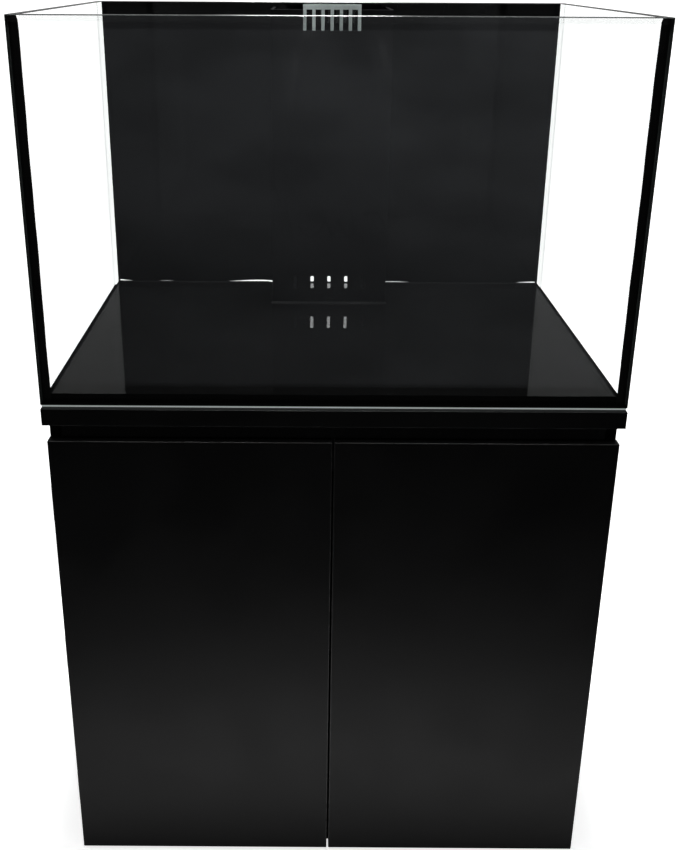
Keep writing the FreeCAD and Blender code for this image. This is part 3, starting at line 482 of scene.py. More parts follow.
for side in ("left", "right"):
    board(f"side_board_{side}", f"side_panel_{side}")
board("floor_board", "cabinet_floor")
rail_low, rail_high = span("front_rail")
# The rail sits in shade under the slab, so it takes a far paler copy of the black paint: painted light
# that lifts it out of that shade.
board("rail_board", "front_rail",
      [rod_mesh("latch_bore", middle(f"latch_housing_{side}"), LATCH_BORE, rail_low.y - MM,
                rail_high.y + MM, axis=1) for side in ("left", "right")],
      paint=board_finish("rail_board_painted_light", 0.06, 0.36, 0.08))


def window_mesh(name, low, high, corner, front, back, arc_steps=8):
    """A closed block with rounded corners in the x-z plane, from y front to y back."""
    centres = [(high[0] - corner, high[1] - corner, 0), (low[0] + corner, high[1] - corner, 1),
               (low[0] + corner, low[1] + corner, 2), (high[0] - corner, low[1] + corner, 3)]
    ring = []
    for x, z, quarter in centres:
        for step in range(arc_steps + 1):
            angle = (quarter + step / arc_steps) * math.pi / 2
            ring.append((x + corner * math.cos(angle), z + corner * math.sin(angle)))
    mesh = bpy.data.meshes.new(name)
    work = bmesh.new()
    near = [work.verts.new((x, front, z)) for x, z in ring]
    far = [work.verts.new((x, back, z)) for x, z in ring]
    count = len(ring)
    work.faces.new(near)
    work.faces.new(far[::-1])
    for index in range(count):
        following = (index + 1) % count
        work.faces.new((near[index], far[index], far[following], near[following]))
    bmesh.ops.recalc_face_normals(work, faces=work.faces)
    work.to_mesh(mesh)
    work.free()
    return mesh


WINDOW_WIDTH = 560 * MM
WINDOW_HEIGHT = 250 * MM
WINDOW_FOOT = 545 * MM
WINDOW_CORNER = 30 * MM
back_low, back_high = span("back_panel")
window_low = (-WINDOW_WIDTH / 2, back_low.z + WINDOW_FOOT)
window_high = (WINDOW_WIDTH / 2, back_low.z + WINDOW_FOOT + WINDOW_HEIGHT)
board("back_board", "back_panel", [window_mesh("window", window_low, window_high, WINDOW_CORNER,
                                               back_low.y - MM, back_high.y + MM)])
print("stand boards made")

# %% [markdown]
# ## Doors
#
# The doors are flush slabs with no handles, hung 3 mm apart. Their edges are rounded a little more
# than the carcass's, because hands push there to open the latches.

# %% Doors
for side in ("left", "right"):
    board(f"door_board_{side}", f"door_{side}", radius=1.5 * MM)
print("doors made")

# %% [markdown]
# ## Glass panes
#
# Each pane is a sheet whose long edges have a 1.5 mm polished arris. The whole rim belongs to the
# edge finish, so the faces on the pane's thin sides are given it too. The panes are made a hair
# smaller than their nodes, so that glass and silicone never share a surface.

# %% Glass panes
HAIR = 0.02 * MM
ARRIS = 1.3 * MM


WAYS = {"front": Vector((0, -1, 0)), "back": Vector((0, 1, 0)), "left": Vector((-1, 0, 0)),
        "right": Vector((1, 0, 0)), "down": Vector((0, 0, -1)), "up": Vector((0, 0, 1))}


def faces_facing(piece, ways):
    """The faces that look one of some ways."""
    return [face for face in piece.data.polygons
            if any(face.normal.dot(WAYS[way]) > 0.2 for way in ways)]


def pane(name, node, thin_axis, face_finish, bonded=(), clear=(), dark=(), cutters=()):
    """A glass sheet: clear faces, polished edges, black where silicone grips, a near-black underside
    that is painted shade on upright panes, and a painted-shade edge where asked.
    """
    low, high = span(node)
    hair = Vector((HAIR, HAIR, HAIR))
    mesh = sheet_mesh(name, low + hair, high - hair)
    piece = put_in_scene(name, mesh, face_finish, polished_edge)
    if cutters:
        cut_away(piece, cutters)
    for face in piece.data.polygons:
        face.material_index = 0 if abs(face.normal[thin_axis]) > 0.9 else 1
    settle(round_edges(piece, ARRIS, 3, 1))
    piece.data.materials.append(FINISH_OF["black_silicone"])
    # Slot 3 is the near-black underside finish: real paint under the floor pane, painted shade under the
    # upright panes.
    piece.data.materials.append(underside_paint_and_shade)
    # Slot 4 is that darker edge copy: painted shade for the faces given as dark.
    piece.data.materials.append(edge_painted_shade)
    for ways, finish in ((bonded, 2), (clear, 0), (dark, 4), (["down"], 3)):
        for face in faces_facing(piece, ways):
            face.material_index = finish
    return stand_for(piece, node)


pane("glass_front", "pane_front", 1, front_glass)
pane("glass_back", "pane_back", 1, clear_glass, clear=["left", "right"])
# The side panes' top edges take the darker edge copy as painted shade.
pane("glass_left", "pane_left", 0, side_glass, bonded=["front"], clear=["back"],
     dark=["up"])
pane("glass_right", "pane_right", 0, side_glass, bonded=["front"], clear=["back"],
     dark=["up"])
PANE_HOLES = {"drain_bulkhead": 23.5 * MM, "return_bulkhead": 20.15 * MM}
floor_low, floor_high = span("pane_floor")
pane("glass_floor", "pane_floor", 2, clear_glass, bonded=["front", "back", "left", "right"],
     cutters=[rod_mesh(fitting, middle(fitting), radius, floor_low.z - MM, floor_high.z + MM)
              for fitting, radius in PANE_HOLES.items()])
print("panes made")

# %% [markdown]
# ## Silicone beads
#
# Silicone does two jobs: a 1 mm joint glues glass to glass, and a bead smoothed with a fingertip
# fills the inner corner. A tooled bead is hollow, not a chamfer, and its width wanders a little
# along its length because a hand drew it. So each bead is one outline carried along its path, with
# a slow wobble on its size. The floor bead runs as one closed ring, so its corners mitre themselves.

# %% Silicone
JOINT = 1.0 * MM
BEAD_STEPS = 6
black_silicone = FINISH_OF["black_silicone"]


def wobble(along, seed):
    """A slow hand-made change of size along a bead, about 1."""
    return 1 + 0.07 * math.sin(23 * along + seed) + 0.05 * math.sin(61 * along + 2.3 * seed)


def hollow_curve(size):
    """The hollow face of a bead, from one leg's end to the other's."""
    turns = [step / BEAD_STEPS * math.pi / 2 for step in range(BEAD_STEPS + 1)]
    return [(size * (1 - math.sin(a)), size * (1 - math.cos(a))) for a in turns]


def loft(name, rings, closed):
    """Join rings of points into one closed skin."""
    mesh = bpy.data.meshes.new(name)
    work = bmesh.new()
    rows = [[work.verts.new(point) for point in ring] for ring in rings]
    count = len(rings[0])
    pairs = list(zip(rows, rows[1:] + ([rows[0]] if closed else [])))
    for row, following in pairs[:len(rows) if closed else len(rows) - 1]:
        for index in range(count):
            beside = (index + 1) % count
            work.faces.new((row[index], row[beside], following[beside], following[index]))
    if not closed:
        work.faces.new(rows[0])
        work.faces.new(rows[-1][::-1])
    bmesh.ops.recalc_face_normals(work, faces=work.faces)
    work.to_mesh(mesh)
    work.free()
    return mesh


def smooth_silicone(name, mesh, node, finish=black_silicone):
    """A silicone piece with soft shading and crisp edges where it meets glass."""
    piece = put_in_scene(name, mesh, finish)
    piece.data.shade_smooth()
    piece.data.set_sharp_from_angle(angle=math.radians(40))
    return stand_for(piece, node)


def corner_seal(name, node, x_way, y_way, seed, black, steps=90):
    """An upright joint, black for some way under the pane's end, and its bead."""
    low, high = span(node)
    inner_x = (low.x if x_way > 0 else high.x) + x_way * (2 * HAIR + 12 * MM)
    outer_x = inner_x - x_way * black
    glass_y = low.y if y_way > 0 else high.y
    bead = min(high.x - low.x - 12 * MM, high.y - low.y) - HAIR
    rings = []
    for step in range(steps + 1):
        z = low.z + (high.z - low.z) * step / steps
        size = bead * (0.93 * wobble(z, seed) - 0.05)
        size *= min(1.0, 0.12 + (high.z - z) / (9 * MM))
        curve = [(inner_x + x_way * u, glass_y + y_way * v) for u, v in
                 hollow_curve(min(size, bead))]
        ring = [(outer_x, glass_y)] + curve + [(inner_x, glass_y + y_way * JOINT),
                                               (outer_x, glass_y + y_way * JOINT)]
        rings.append([(x, y, z) for x, y in ring])
    return smooth_silicone(name, loft(name, rings, False), node)


BLACK_FRONT = 12 * MM
BLACK_BACK = 1.5 * MM
corner_seal("silicone_front_left", "seal_front_left", 1, 1, 0.4, BLACK_FRONT)
corner_seal("silicone_front_right", "seal_front_right", -1, 1, 1.7, BLACK_FRONT)
corner_seal("silicone_back_left", "seal_back_left", 1, -1, 2.9, BLACK_BACK)
corner_seal("silicone_back_right", "seal_back_right", -1, -1, 4.1, BLACK_BACK)

seal_low, seal_high = span("seal_floor")
FLOOR_TOP = floor_high.z
FLOOR_BEAD = {"front": 3.2 * MM, "back": 2.5 * MM, "side": 3.25 * MM}
BOX_SIDES = (104 * MM, 117 * MM)


def floor_ring(steps=70):
    """The floor joint's outline carried round the floor pane, thinned at the overflow box."""
    x_reach, y_reach = seal_high.x - HAIR, seal_high.y - HAIR
    walk = []
    for start, end, kind in (((-1, -1), (1, -1), "front"), ((1, -1), (1, 1), "side"),
                             ((1, 1), (-1, 1), "back"), ((-1, 1), (-1, -1), "side")):
        for step in range(steps):
            part = step / steps
            walk.append((start[0] + (end[0] - start[0]) * part,
                         start[1] + (end[1] - start[1]) * part, kind))
    rings = []
    for index, (x_part, y_part, kind) in enumerate(walk):
        along = index * 0.0105
        size = FLOOR_BEAD[kind] * wobble(along, 3.3) * 0.95
        x, y = x_part * x_reach, y_part * y_reach
        if kind == "back" and BOX_SIDES[0] < abs(x) < BOX_SIDES[1]:
            size = 0.3 * MM
        ring = []
        outline = [(0.0, seal_low.z + HAIR)] + [(u, FLOOR_TOP + v) for v, u in hollow_curve(size)]
        outline += [(JOINT - 2 * HAIR, FLOOR_TOP), (JOINT - 2 * HAIR, seal_low.z + HAIR)]
        for depth, z in outline:
            ring.append((x_part * (x_reach - depth) if abs(x_part) == 1 else x * (1 - depth / x_reach),
                         y_part * (y_reach - depth) if abs(y_part) == 1 else y * (1 - depth / y_reach),
                         z))
        rings.append(ring)
    return rings


smooth_silicone("silicone_floor", loft("silicone_floor", floor_ring(), True), "seal_floor",
                dull_silicone)
print("silicone beads made")

# %% [markdown]
# ## Back film
#
# The black back is a vinyl film stuck on the outside of the back pane. Its lower edge was trimmed
# with a knife along the floor joint, and a knife wanders: in a few places the edge lifts, and light
# gets in as a thin bright line. Behind the overflow box a window is left open. The film is one
# outline, with its lower edge drawn as a sum of soft lifts, given its thickness.

# %% Back film
FILM_FOOT = 910 * MM
FILM_WINDOW = 52 * MM
FILM_SIDE = 447 * MM
LIFTS = [(-0.452, 0.026, 3.3), (-0.352, 0.03, 0.9), (-0.150, 0.042, 3.4), (0.135, 0.03, 1.4),
         (0.330, 0.02, 0.8), (0.438, 0.03, 2.2)]
film_low, film_high = span("back_film")
window_top = film_low.z + 125 * MM


def film_edge(x):
    """The height of the film's trimmed lower edge."""
    lift = sum(height * math.exp(-((x - place) / width) ** 2) for place, width, height in LIFTS)
    return FILM_FOOT + (lift + 0.15 * math.sin(90 * x)) * MM


def film_outline(steps=60):
    """The film's outline in the x-z plane, its lower edge first."""
    left = [-FILM_SIDE + (FILM_SIDE - FILM_WINDOW) * i / steps for i in range(steps + 1)]
    right = [-x for x in reversed(left)]
    points = [(x, film_edge(x)) for x in left]
    points += [(-FILM_WINDOW, window_top), (FILM_WINDOW, window_top)]
    points += [(x, film_edge(x)) for x in right]
    return points + [(FILM_SIDE, film_high.z), (-FILM_SIDE, film_high.z)]


film = put_in_scene("vinyl_film", loft("vinyl_film", [
    [(x, y, z) for x, z in film_outline()] for y in (film_low.y, film_high.y)], False),
    FINISH_OF["black_film"])
stand_for(film, "back_film")
print("film edge wanders", round(min(film_edge(x / 100) for x in range(-45, 46)), 4),
      "to", round(max(film_edge(x / 100) for x in range(-45, 46)), 4))

# %% [markdown]
# ## Shapes kept from the CAD, with softened edges
#
# Many small parts already have their exact shape: pipes, nuts, hinge leaves, latches. Rebuilding
# them would only risk errors. But a CAD mesh is loose triangles with knife edges. So a copy is
# merged, its flat faces are joined up again, and a Bevel modifier breaks the edges, which is what
# the moulding or stamping of the real part does.

# %% Softened copies
def softened(name, node, arris, steps=2, keep_bevel=True):
    """A copy of a CAD node's shape with small rounded edges."""
    mesh = bpy.data.meshes.new(name)
    work = bmesh.new()
    work.from_mesh(frame["nodes"][node].data)
    bmesh.ops.remove_doubles(work, verts=work.verts, dist=2e-6)
    bmesh.ops.dissolve_limit(work, angle_limit=math.radians(1.5), verts=work.verts,
                             edges=work.edges, use_dissolve_boundaries=False)
    bmesh.ops.recalc_face_normals(work, faces=work.faces)
    work.to_mesh(mesh)
    work.free()
    piece = put_in_scene(name, mesh, FINISH_OF[SLOT_OF[node]])
    if keep_bevel:
        round_edges(piece, arris, steps)
    return piece


SOFTENED = {
    "box_panel_front": ("overflow_front", 0.5), "box_panel_left": ("overflow_left", 0.5),
    "box_panel_right": ("overflow_right", 0.5), "drain_washer": ("drain_bulkhead_gasket", 0.6),
    "return_washer": ("return_bulkhead_gasket", 0.6), "drain_nut": ("drain_bulkhead_nut", 0.9),
    "return_nut": ("return_bulkhead_nut", 0.9), "return_pipe": ("return_riser", 0.5),
    "return_stopper": ("return_cap", 1.0), "stand_pipe": ("drain_standpipe", 0.5),
    "glides": ("floor_glides", 0.9),
}
for side in ("left", "right"):
    SOFTENED.update({
        f"frame_leaves_{side}": (f"hinge_frame_leaves_{side}", 0.2),
        f"door_leaves_{side}": (f"hinge_door_leaves_{side}", 0.2),
        f"pins_{side}": (f"hinge_pins_{side}", 0.3),
        f"latch_body_{side}": (f"latch_housing_{side}", 0.25),
        f"latch_button_{side}": (f"latch_plunger_{side}", 0.5),
        f"strike_plate_{side}": (f"latch_strike_{side}", 0.2),
    })
for name, (node, arris) in SOFTENED.items():
    part = softened(name, node, arris * MM)
    if name.startswith("box_panel"):
        settle(part)
        part.data.materials.append(sawn_edge)
        for face in part.data.polygons:
            if face.normal.z > 0.3:
                face.material_index = 1
    stand_for(part, node)
for side in ("left", "right"):
    coil = f"latch_spring_{side}"
    spring = stand_for(softened(f"coil_spring_{side}", coil, 0, keep_bevel=False), coil)
    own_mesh(spring)
mat_low, mat_high = span("levelling_mat")
# The mat takes the pale foam finish and its painted glow.
mat = put_in_scene("foam_mat", sheet_mesh("foam_mat", mat_low, mat_high), FINISH_OF["pale_foam"])
cut_away(mat, [rod_mesh(fitting, middle(fitting), radius, mat_low.z - MM, mat_high.z + MM)
               for fitting, radius in SLAB_HOLES.items()])
stand_for(round_edges(mat, 0.6 * MM, 2), "levelling_mat")
print(len(SOFTENED) + 1, "softened pieces")

# %% [markdown]
# ## A class for Geometry Nodes
#
# Parts that repeat, such as the comb's teeth, are best described by a rule: how many, how wide, how
# far apart. Geometry Nodes hold such rules. This class builds a tree with named inputs, and `grow`
# sets those inputs, runs the tree once, and keeps only the plain mesh that it makes.

# %% Rules that grow geometry
class Rule:
    """A Geometry Nodes tree with named sizes."""

    def __init__(self, name, **sizes):
        self.tree = bpy.data.node_groups.new(name, "GeometryNodeTree")
        sockets = self.tree.interface
        sockets.new_socket("Base", in_out="INPUT", socket_type="NodeSocketGeometry")
        for size, value in sizes.items():
            kind = "NodeSocketInt" if isinstance(value, int) else "NodeSocketFloat"
            sockets.new_socket(size, in_out="INPUT", socket_type=kind).default_value = value
        sockets.new_socket("Result", in_out="OUTPUT", socket_type="NodeSocketGeometry")
        self.given = self.tree.nodes.new("NodeGroupInput").outputs

    def add(self, kind, sockets=(), **settings):
        """Make a node, and set or link its named inputs; a list joins several into one."""
        node = self.tree.nodes.new(kind)
        for name, value in settings.items():
            setattr(node, name, value)
        for name, value in dict(sockets).items():
            for item in value if isinstance(value, list) else [value]:
                if isinstance(item, bpy.types.NodeSocket):
                    self.tree.links.new(item, node.inputs[name])
                else:
                    node.inputs[name].default_value = item
        return node.outputs[0]

    def math(self, operation, *values):
        """One step of arithmetic."""
        return self.add("ShaderNodeMath", dict(enumerate(values)), operation=operation)

    def vector(self, x=0.0, y=0.0, z=0.0):
        """A vector from three numbers or sockets."""
        return self.add("ShaderNodeCombineXYZ", {"X": x, "Y": y, "Z": z})

    def moved(self, geometry, place=(0, 0, 0), turn=(0, 0, 0)):
        """Geometry turned and then moved."""
        return self.add("GeometryNodeTransform",
                        {"Geometry": geometry, "Translation": place, "Rotation": turn})

    def joined(self, *parts):
        """Several geometries as one."""
        return self.add("GeometryNodeJoinGeometry", {"Geometry": list(parts)[::-1]})

    def plate(self, width, height, thickness, corner):
        """A closed plate with rounded corners, thickness along z from zero."""
        outline = self.add("GeometryNodeCurvePrimitiveQuadrilateral",
                           {"Width": width, "Height": height})
        rounded = self.add("GeometryNodeFilletCurve", {"Curve": outline, "Radius": corner,
                                                       "Count": 3}, mode="POLY")
        flat = self.add("GeometryNodeFillCurve", {"Curve": rounded}, mode="NGONS")
        raised = self.add("GeometryNodeExtrudeMesh", {"Mesh": flat, "Offset Scale": thickness,
                                                      "Individual": False})
        under = self.add("GeometryNodeFlipFaces", {"Mesh": flat})
        return self.add("GeometryNodeMergeByDistance",
                        {"Geometry": self.joined(raised, under), "Distance": 1e-5})

    def end(self, geometry, finish):
        """Finish the tree: real geometry, one material."""
        whole = self.add("GeometryNodeRealizeInstances", {"Geometry": geometry})
        whole = self.add("GeometryNodeSetMaterial", {"Geometry": whole, "Material": finish})
        self.tree.links.new(whole, self.tree.nodes.new("NodeGroupOutput").inputs[0])

    def grow(self, name, base=None, **sizes):
        """Run the tree on a base mesh with its sizes, and keep the mesh that it makes."""
        piece = put_in_scene(name, base or bpy.data.meshes.new(name))
        step = piece.modifiers.new(self.tree.name, "NODES")
        step.node_group = self.tree
        for socket in self.tree.interface.items_tree:
            if socket.in_out == "INPUT" and socket.name in sizes:
                step[socket.identifier] = sizes[socket.name]
        return settle(piece)


# %% [markdown]
# ## Weir comb
#
# Water leaves the tank over the comb: its teeth let water through and keep fish out. It is one
# piece of pale acrylic cut by a machine, so every tooth is the same and the spaces are even. The
# rule is a bar, and one tooth repeated along a line of points, then fused into a single solid.

# %% Weir comb
comb_low, comb_high = span("weir_comb")
comb_rule = Rule("comb teeth", teeth=7, bar_width=0.1, bar_height=0.01, tooth_width=0.006,
                 tooth_height=0.03, thickness=0.006, corner=0.001)
given = comb_rule.given
bar = comb_rule.moved(
    comb_rule.plate(given["bar_width"], given["bar_height"], given["thickness"], given["corner"]),
    comb_rule.vector(y=comb_rule.math("MULTIPLY", given["bar_height"], -0.5)))
tooth_length = comb_rule.math("ADD", given["tooth_height"], 0.002)
tooth = comb_rule.plate(given["tooth_width"], tooth_length, given["thickness"], given["corner"])
first_x = comb_rule.math("MULTIPLY", comb_rule.math("SUBTRACT", given["bar_width"],
                                                    given["tooth_width"]), -0.5)
middle_y = comb_rule.math("SUBTRACT", 0.002, comb_rule.math("ADD", given["bar_height"],
                          comb_rule.math("MULTIPLY", tooth_length, 0.5)))
gap = comb_rule.math("DIVIDE", comb_rule.math("MULTIPLY", first_x, -2.0),
                     comb_rule.math("SUBTRACT", given["teeth"], 1.0))
row = comb_rule.add("GeometryNodeMeshLine", {
    "Count": given["teeth"], "Start Location": comb_rule.vector(first_x, middle_y),
    "Offset": comb_rule.vector(gap)}, mode="OFFSET")
teeth = comb_rule.add("GeometryNodeInstanceOnPoints", {"Points": row, "Instance": tooth})
fused = comb_rule.add("GeometryNodeMeshBoolean", {"Mesh 2": [bar, teeth]}, operation="UNION",
                      solver="EXACT")
upright = comb_rule.moved(fused, (0, comb_high.y, comb_high.z), (math.pi / 2, 0, 0))
comb_rule.end(upright, FINISH_OF["frosted_acrylic"])
comb = comb_rule.grow("comb", teeth=7, bar_width=comb_high.x - comb_low.x, bar_height=9 * MM,
                      tooth_width=6 * MM, tooth_height=comb_high.z - comb_low.z - 9 * MM,
                      thickness=comb_high.y - comb_low.y, corner=0.8 * MM)
round_edges(comb, 0.5 * MM, 2)
stand_for(comb, "weir_comb")
corners = [v.co for v in comb.data.vertices]
print("comb", [round(min(c[i] for c in corners), 4) for i in range(3)],
      [round(max(c[i] for c in corners), 4) for i in range(3)])

# %% [markdown]
# ## Round parts turned on an axis
#
# Caps, bumpers and rings are turned shapes: one outline spun round an axis. The helper takes the
# outline as pairs of radius and height, and closes the poles where the radius is zero.

# %% Turned shapes
def turned(name, outline, base, axis="Z", closed=False, sides=64):
    """Spin an outline of (radius, height) pairs; closed outlines make rings."""
    mesh = bpy.data.meshes.new(name)
    work = bmesh.new()
    rows = []
    for radius, height in outline:
        if radius == 0:
            rows.append([work.verts.new((0, 0, height))])
            continue
        angles = [2 * math.pi * step / sides for step in range(sides)]
        rows.append([work.verts.new((radius * math.cos(a), radius * math.sin(a), height))
                     for a in angles])
    pairs = list(zip(rows, rows[1:]))
    if closed:
        pairs.append((rows[-1], rows[0]))
    for low_row, high_row in pairs:
        for step in range(sides):
            corners = []
            for row, at in ((low_row, step), (low_row, step + 1), (high_row, step + 1),
                            (high_row, step)):
                vert = row[at % len(row)]
                if vert not in corners:
                    corners.append(vert)
            work.faces.new(corners)
    if axis != "Z":
        way = {"Y": Matrix.Rotation(-math.pi / 2, 3, "X"), "-Y": Matrix.Rotation(math.pi / 2, 3, "X")}
        bmesh.ops.rotate(work, matrix=way[axis], verts=work.verts)
    bmesh.ops.translate(work, vec=base, verts=work.verts)
    bmesh.ops.recalc_face_normals(work, faces=work.faces)
    work.to_mesh(mesh)
    work.free()
    return mesh


BUMPER = [(0, 2.7), (1.6, 2.62), (3.0, 2.32), (4.1, 1.8), (4.75, 1.1), (5.0, 0.35), (5.0, 0.0), (0, 0)]
for side in ("left", "right"):
    node = f"door_bumper_{side}"
    low, high = span(node)
    centre = middle(node)
    dome = turned(f"bumper_{side}", [(r * MM, h * MM) for r, h in BUMPER],
                  (centre.x, low.y, centre.z), "Y")
    piece = put_in_scene(f"bumper_{side}", dome, FINISH_OF["bumper_rubber"])
    piece.data.shade_smooth()
    piece.data.set_sharp_from_angle(angle=math.radians(50))
    stand_for(piece, node)
print("bumpers made")

# %% [markdown]
# ## Drain strainer
#
# The strainer is a cage that keeps snails out of the drain. It lifts off with its pipe. A turned
# ring and lid are the base, and the rule stands ten bars round the circle between them.

# %% Drain strainer
cage_low, cage_high = span("drain_strainer")
CAGE_WALL = 3.0 * MM
SOCKET_HEIGHT = 22 * MM
LID_HEIGHT = 4 * MM
cage_radius = (cage_high.x - cage_low.x) / 2
centre = middle("drain_strainer")
bore = cage_radius - CAGE_WALL
ROUND = 0.8 * MM
ring_outline = [(bore, 0), (cage_radius - ROUND, 0), (cage_radius, ROUND),
                (cage_radius, SOCKET_HEIGHT - ROUND), (cage_radius - ROUND, SOCKET_HEIGHT),
                (bore, SOCKET_HEIGHT)]
lid_foot = cage_high.z - cage_low.z - LID_HEIGHT
lid_outline = [(0, lid_foot), (cage_radius - ROUND, lid_foot), (cage_radius, lid_foot + ROUND),
               (cage_radius, lid_foot + LID_HEIGHT - 2 * ROUND),
               (cage_radius - 2 * ROUND, lid_foot + LID_HEIGHT), (0, lid_foot + LID_HEIGHT)]
cage_base = turned("cage_ring", ring_outline, (centre.x, centre.y, cage_low.z), closed=True)
work = bmesh.new()
work.from_mesh(cage_base)
work.from_mesh(turned("cage_lid", lid_outline, (centre.x, centre.y, cage_low.z)))
work.to_mesh(cage_base)
work.free()

cage_rule = Rule("cage bars", bars=10, radius=0.018, bar_width=0.007, wall=0.003, length=0.05,
                 foot=1.3)
given = cage_rule.given
stem = cage_rule.plate(given["wall"], given["bar_width"], given["length"],
                       cage_rule.math("MULTIPLY", given["wall"], 0.35))
posts = cage_rule.add("GeometryNodeMeshCircle", {"Vertices": given["bars"],
                                                 "Radius": given["radius"]})
step_angle = cage_rule.math("DIVIDE", 2 * math.pi, given["bars"])
spin = cage_rule.math("MULTIPLY", cage_rule.add("GeometryNodeInputIndex"), step_angle)
stems = cage_rule.add("GeometryNodeInstanceOnPoints", {
    "Points": posts, "Instance": stem, "Rotation": cage_rule.vector(z=spin)})
stems = cage_rule.moved(stems, (centre.x, centre.y, cage_low.z + SOCKET_HEIGHT - 0.5 * MM))
cage_rule.end(cage_rule.joined(given["Base"], stems), FINISH_OF["pipe_plastic"])
BAR_COUNT = 10
SLOT_WIDTH = 4 * MM
bar_radius = cage_radius - CAGE_WALL / 2
cage = cage_rule.grow("strainer", cage_base, bars=BAR_COUNT, radius=bar_radius,
                      bar_width=2 * math.pi * bar_radius / BAR_COUNT - SLOT_WIDTH,
                      wall=CAGE_WALL * 0.96, length=lid_foot - SOCKET_HEIGHT + 1.0 * MM)
cage.data.shade_smooth()
cage.data.set_sharp_from_angle(angle=math.radians(38))
stand_for(cage, "drain_strainer")
print("strainer with", BAR_COUNT, "bars")

# %% [markdown]
# ## Bulkheads
#
# A bulkhead carries a pipe through the glass: a flange and gasket above, a thread and nut below.
# The thread is a helix by nature, so the rule sweeps a small ridge along a spiral, once for each
# bulkhead, on top of the softened CAD body.

# %% Bulkheads
thread_rule = Rule("bulkhead thread", radius=0.02, turns=5.0, rise=0.02, ridge=0.001,
                   x=0.0, y=0.0, z=0.0)
given = thread_rule.given
spiral = thread_rule.add("GeometryNodeCurveSpiral", {
    "Resolution": 40, "Rotations": given["turns"], "Start Radius": given["radius"],
    "End Radius": given["radius"], "Height": given["rise"]})
ridge = thread_rule.add("GeometryNodeCurvePrimitiveCircle",
                        {"Resolution": 6, "Radius": given["ridge"]})
thread = thread_rule.add("GeometryNodeCurveToMesh", {"Curve": spiral, "Profile Curve": ridge,
                                                     "Fill Caps": True})
placed = thread_rule.moved(thread, thread_rule.vector(given["x"], given["y"], given["z"]))
thread_rule.end(thread_rule.joined(given["Base"], placed), FINISH_OF["bulkhead_plastic"])
THREAD_RADIUS = {"drain": 22.0 * MM, "return": 18.65 * MM}
for fitting, radius in THREAD_RADIUS.items():
    node = f"{fitting}_bulkhead"
    low, high = span(node)
    nut_low, nut_high = span(f"{node}_nut")
    centre = middle(node)
    body = settle(softened(f"{fitting}_body", node, 1.0 * MM))
    base = body.data
    bpy.data.objects.remove(body)
    fitted = thread_rule.grow(f"{fitting}_fitting", base, radius=radius, turns=6.0,
                              rise=nut_low.z - low.z - 3 * MM, ridge=0.75 * MM,
                              x=centre.x, y=centre.y, z=low.z + 1.5 * MM)
    fitted.data.shade_smooth()
    fitted.data.set_sharp_from_angle(angle=math.radians(30))
    stand_for(fitted, node)
print("bulkheads threaded")

# %% [markdown]
# ## Screws
#
# The hinges and strikes are held by small countersunk screws with a cross recess. They are all
# alike, so one screw is grown in the tree, the cross is cut from it, and it is set on a mesh whose
# points are the screws' places. Those places are read from the CAD screws' own boxes.

# %% Screws
def loose_boxes(node):
    """The box of each separate solid in a node."""
    work = bmesh.new()
    work.from_mesh(frame["nodes"][node].data)
    bmesh.ops.remove_doubles(work, verts=work.verts, dist=2e-6)
    left = set(work.verts)
    boxes = []
    while left:
        group, reach = [], [left.pop()]
        while reach:
            vert = reach.pop()
            group.append(vert.co.copy())
            for edge in vert.link_edges:
                other = edge.other_vert(vert)
                if other in left:
                    left.discard(other)
                    reach.append(other)
        boxes.append((Vector([min(c[i] for c in group) for i in range(3)]),
                      Vector([max(c[i] for c in group) for i in range(3)])))
    work.free()
    return sorted(boxes, key=lambda box: (box[0].x, box[0].z))


screw_rule = Rule("cross screws", head=0.003, shank=0.0016, sink=0.0015, length=0.015, tilt=1.57)
given = screw_rule.given
shank_length = screw_rule.math("SUBTRACT", given["length"], screw_rule.math(
    "MULTIPLY", given["sink"], 0.5))
cone = screw_rule.add("GeometryNodeMeshCone", {
    "Vertices": 28, "Radius Top": given["head"], "Radius Bottom": screw_rule.math(
        "MULTIPLY", given["shank"], 0.9), "Depth": given["sink"]})
cone = screw_rule.moved(cone, screw_rule.vector(z=screw_rule.math("MULTIPLY", given["sink"], -1.0)))
stalk = screw_rule.add("GeometryNodeMeshCone", {
    "Vertices": 20, "Radius Top": given["shank"], "Radius Bottom": 0.0003, "Depth": shank_length})
stalk = screw_rule.moved(stalk, screw_rule.vector(z=screw_rule.math("MULTIPLY", given["length"],
                                                                    -1.0)))
solid = screw_rule.add("GeometryNodeMeshBoolean", {"Mesh 2": [cone, stalk]}, operation="UNION",
                       solver="EXACT")
slot_long = screw_rule.math("MULTIPLY", given["head"], 1.15)
slot_thin = screw_rule.math("MULTIPLY", given["head"], 0.24)
slot_deep = screw_rule.math("MULTIPLY", given["sink"], 1.5)
across = screw_rule.add("GeometryNodeMeshCube", {"Size": screw_rule.vector(slot_long, slot_thin,
                                                                           slot_deep)})
along = screw_rule.add("GeometryNodeMeshCube", {"Size": screw_rule.vector(slot_thin, slot_long,
                                                                          slot_deep)})
cross = screw_rule.add("GeometryNodeMeshBoolean", {"Mesh 1": solid, "Mesh 2": [across, along]},
                       operation="DIFFERENCE", solver="EXACT")
spin = screw_rule.math("MULTIPLY", screw_rule.add("GeometryNodeInputIndex"), 1.1)
turned_cross = screw_rule.add("GeometryNodeInstanceOnPoints", {
    "Points": given["Base"], "Instance": cross,
    "Rotation": screw_rule.vector(given["tilt"], 0.0, spin)})
screw_rule.end(turned_cross, FINISH_OF["screw_steel"])


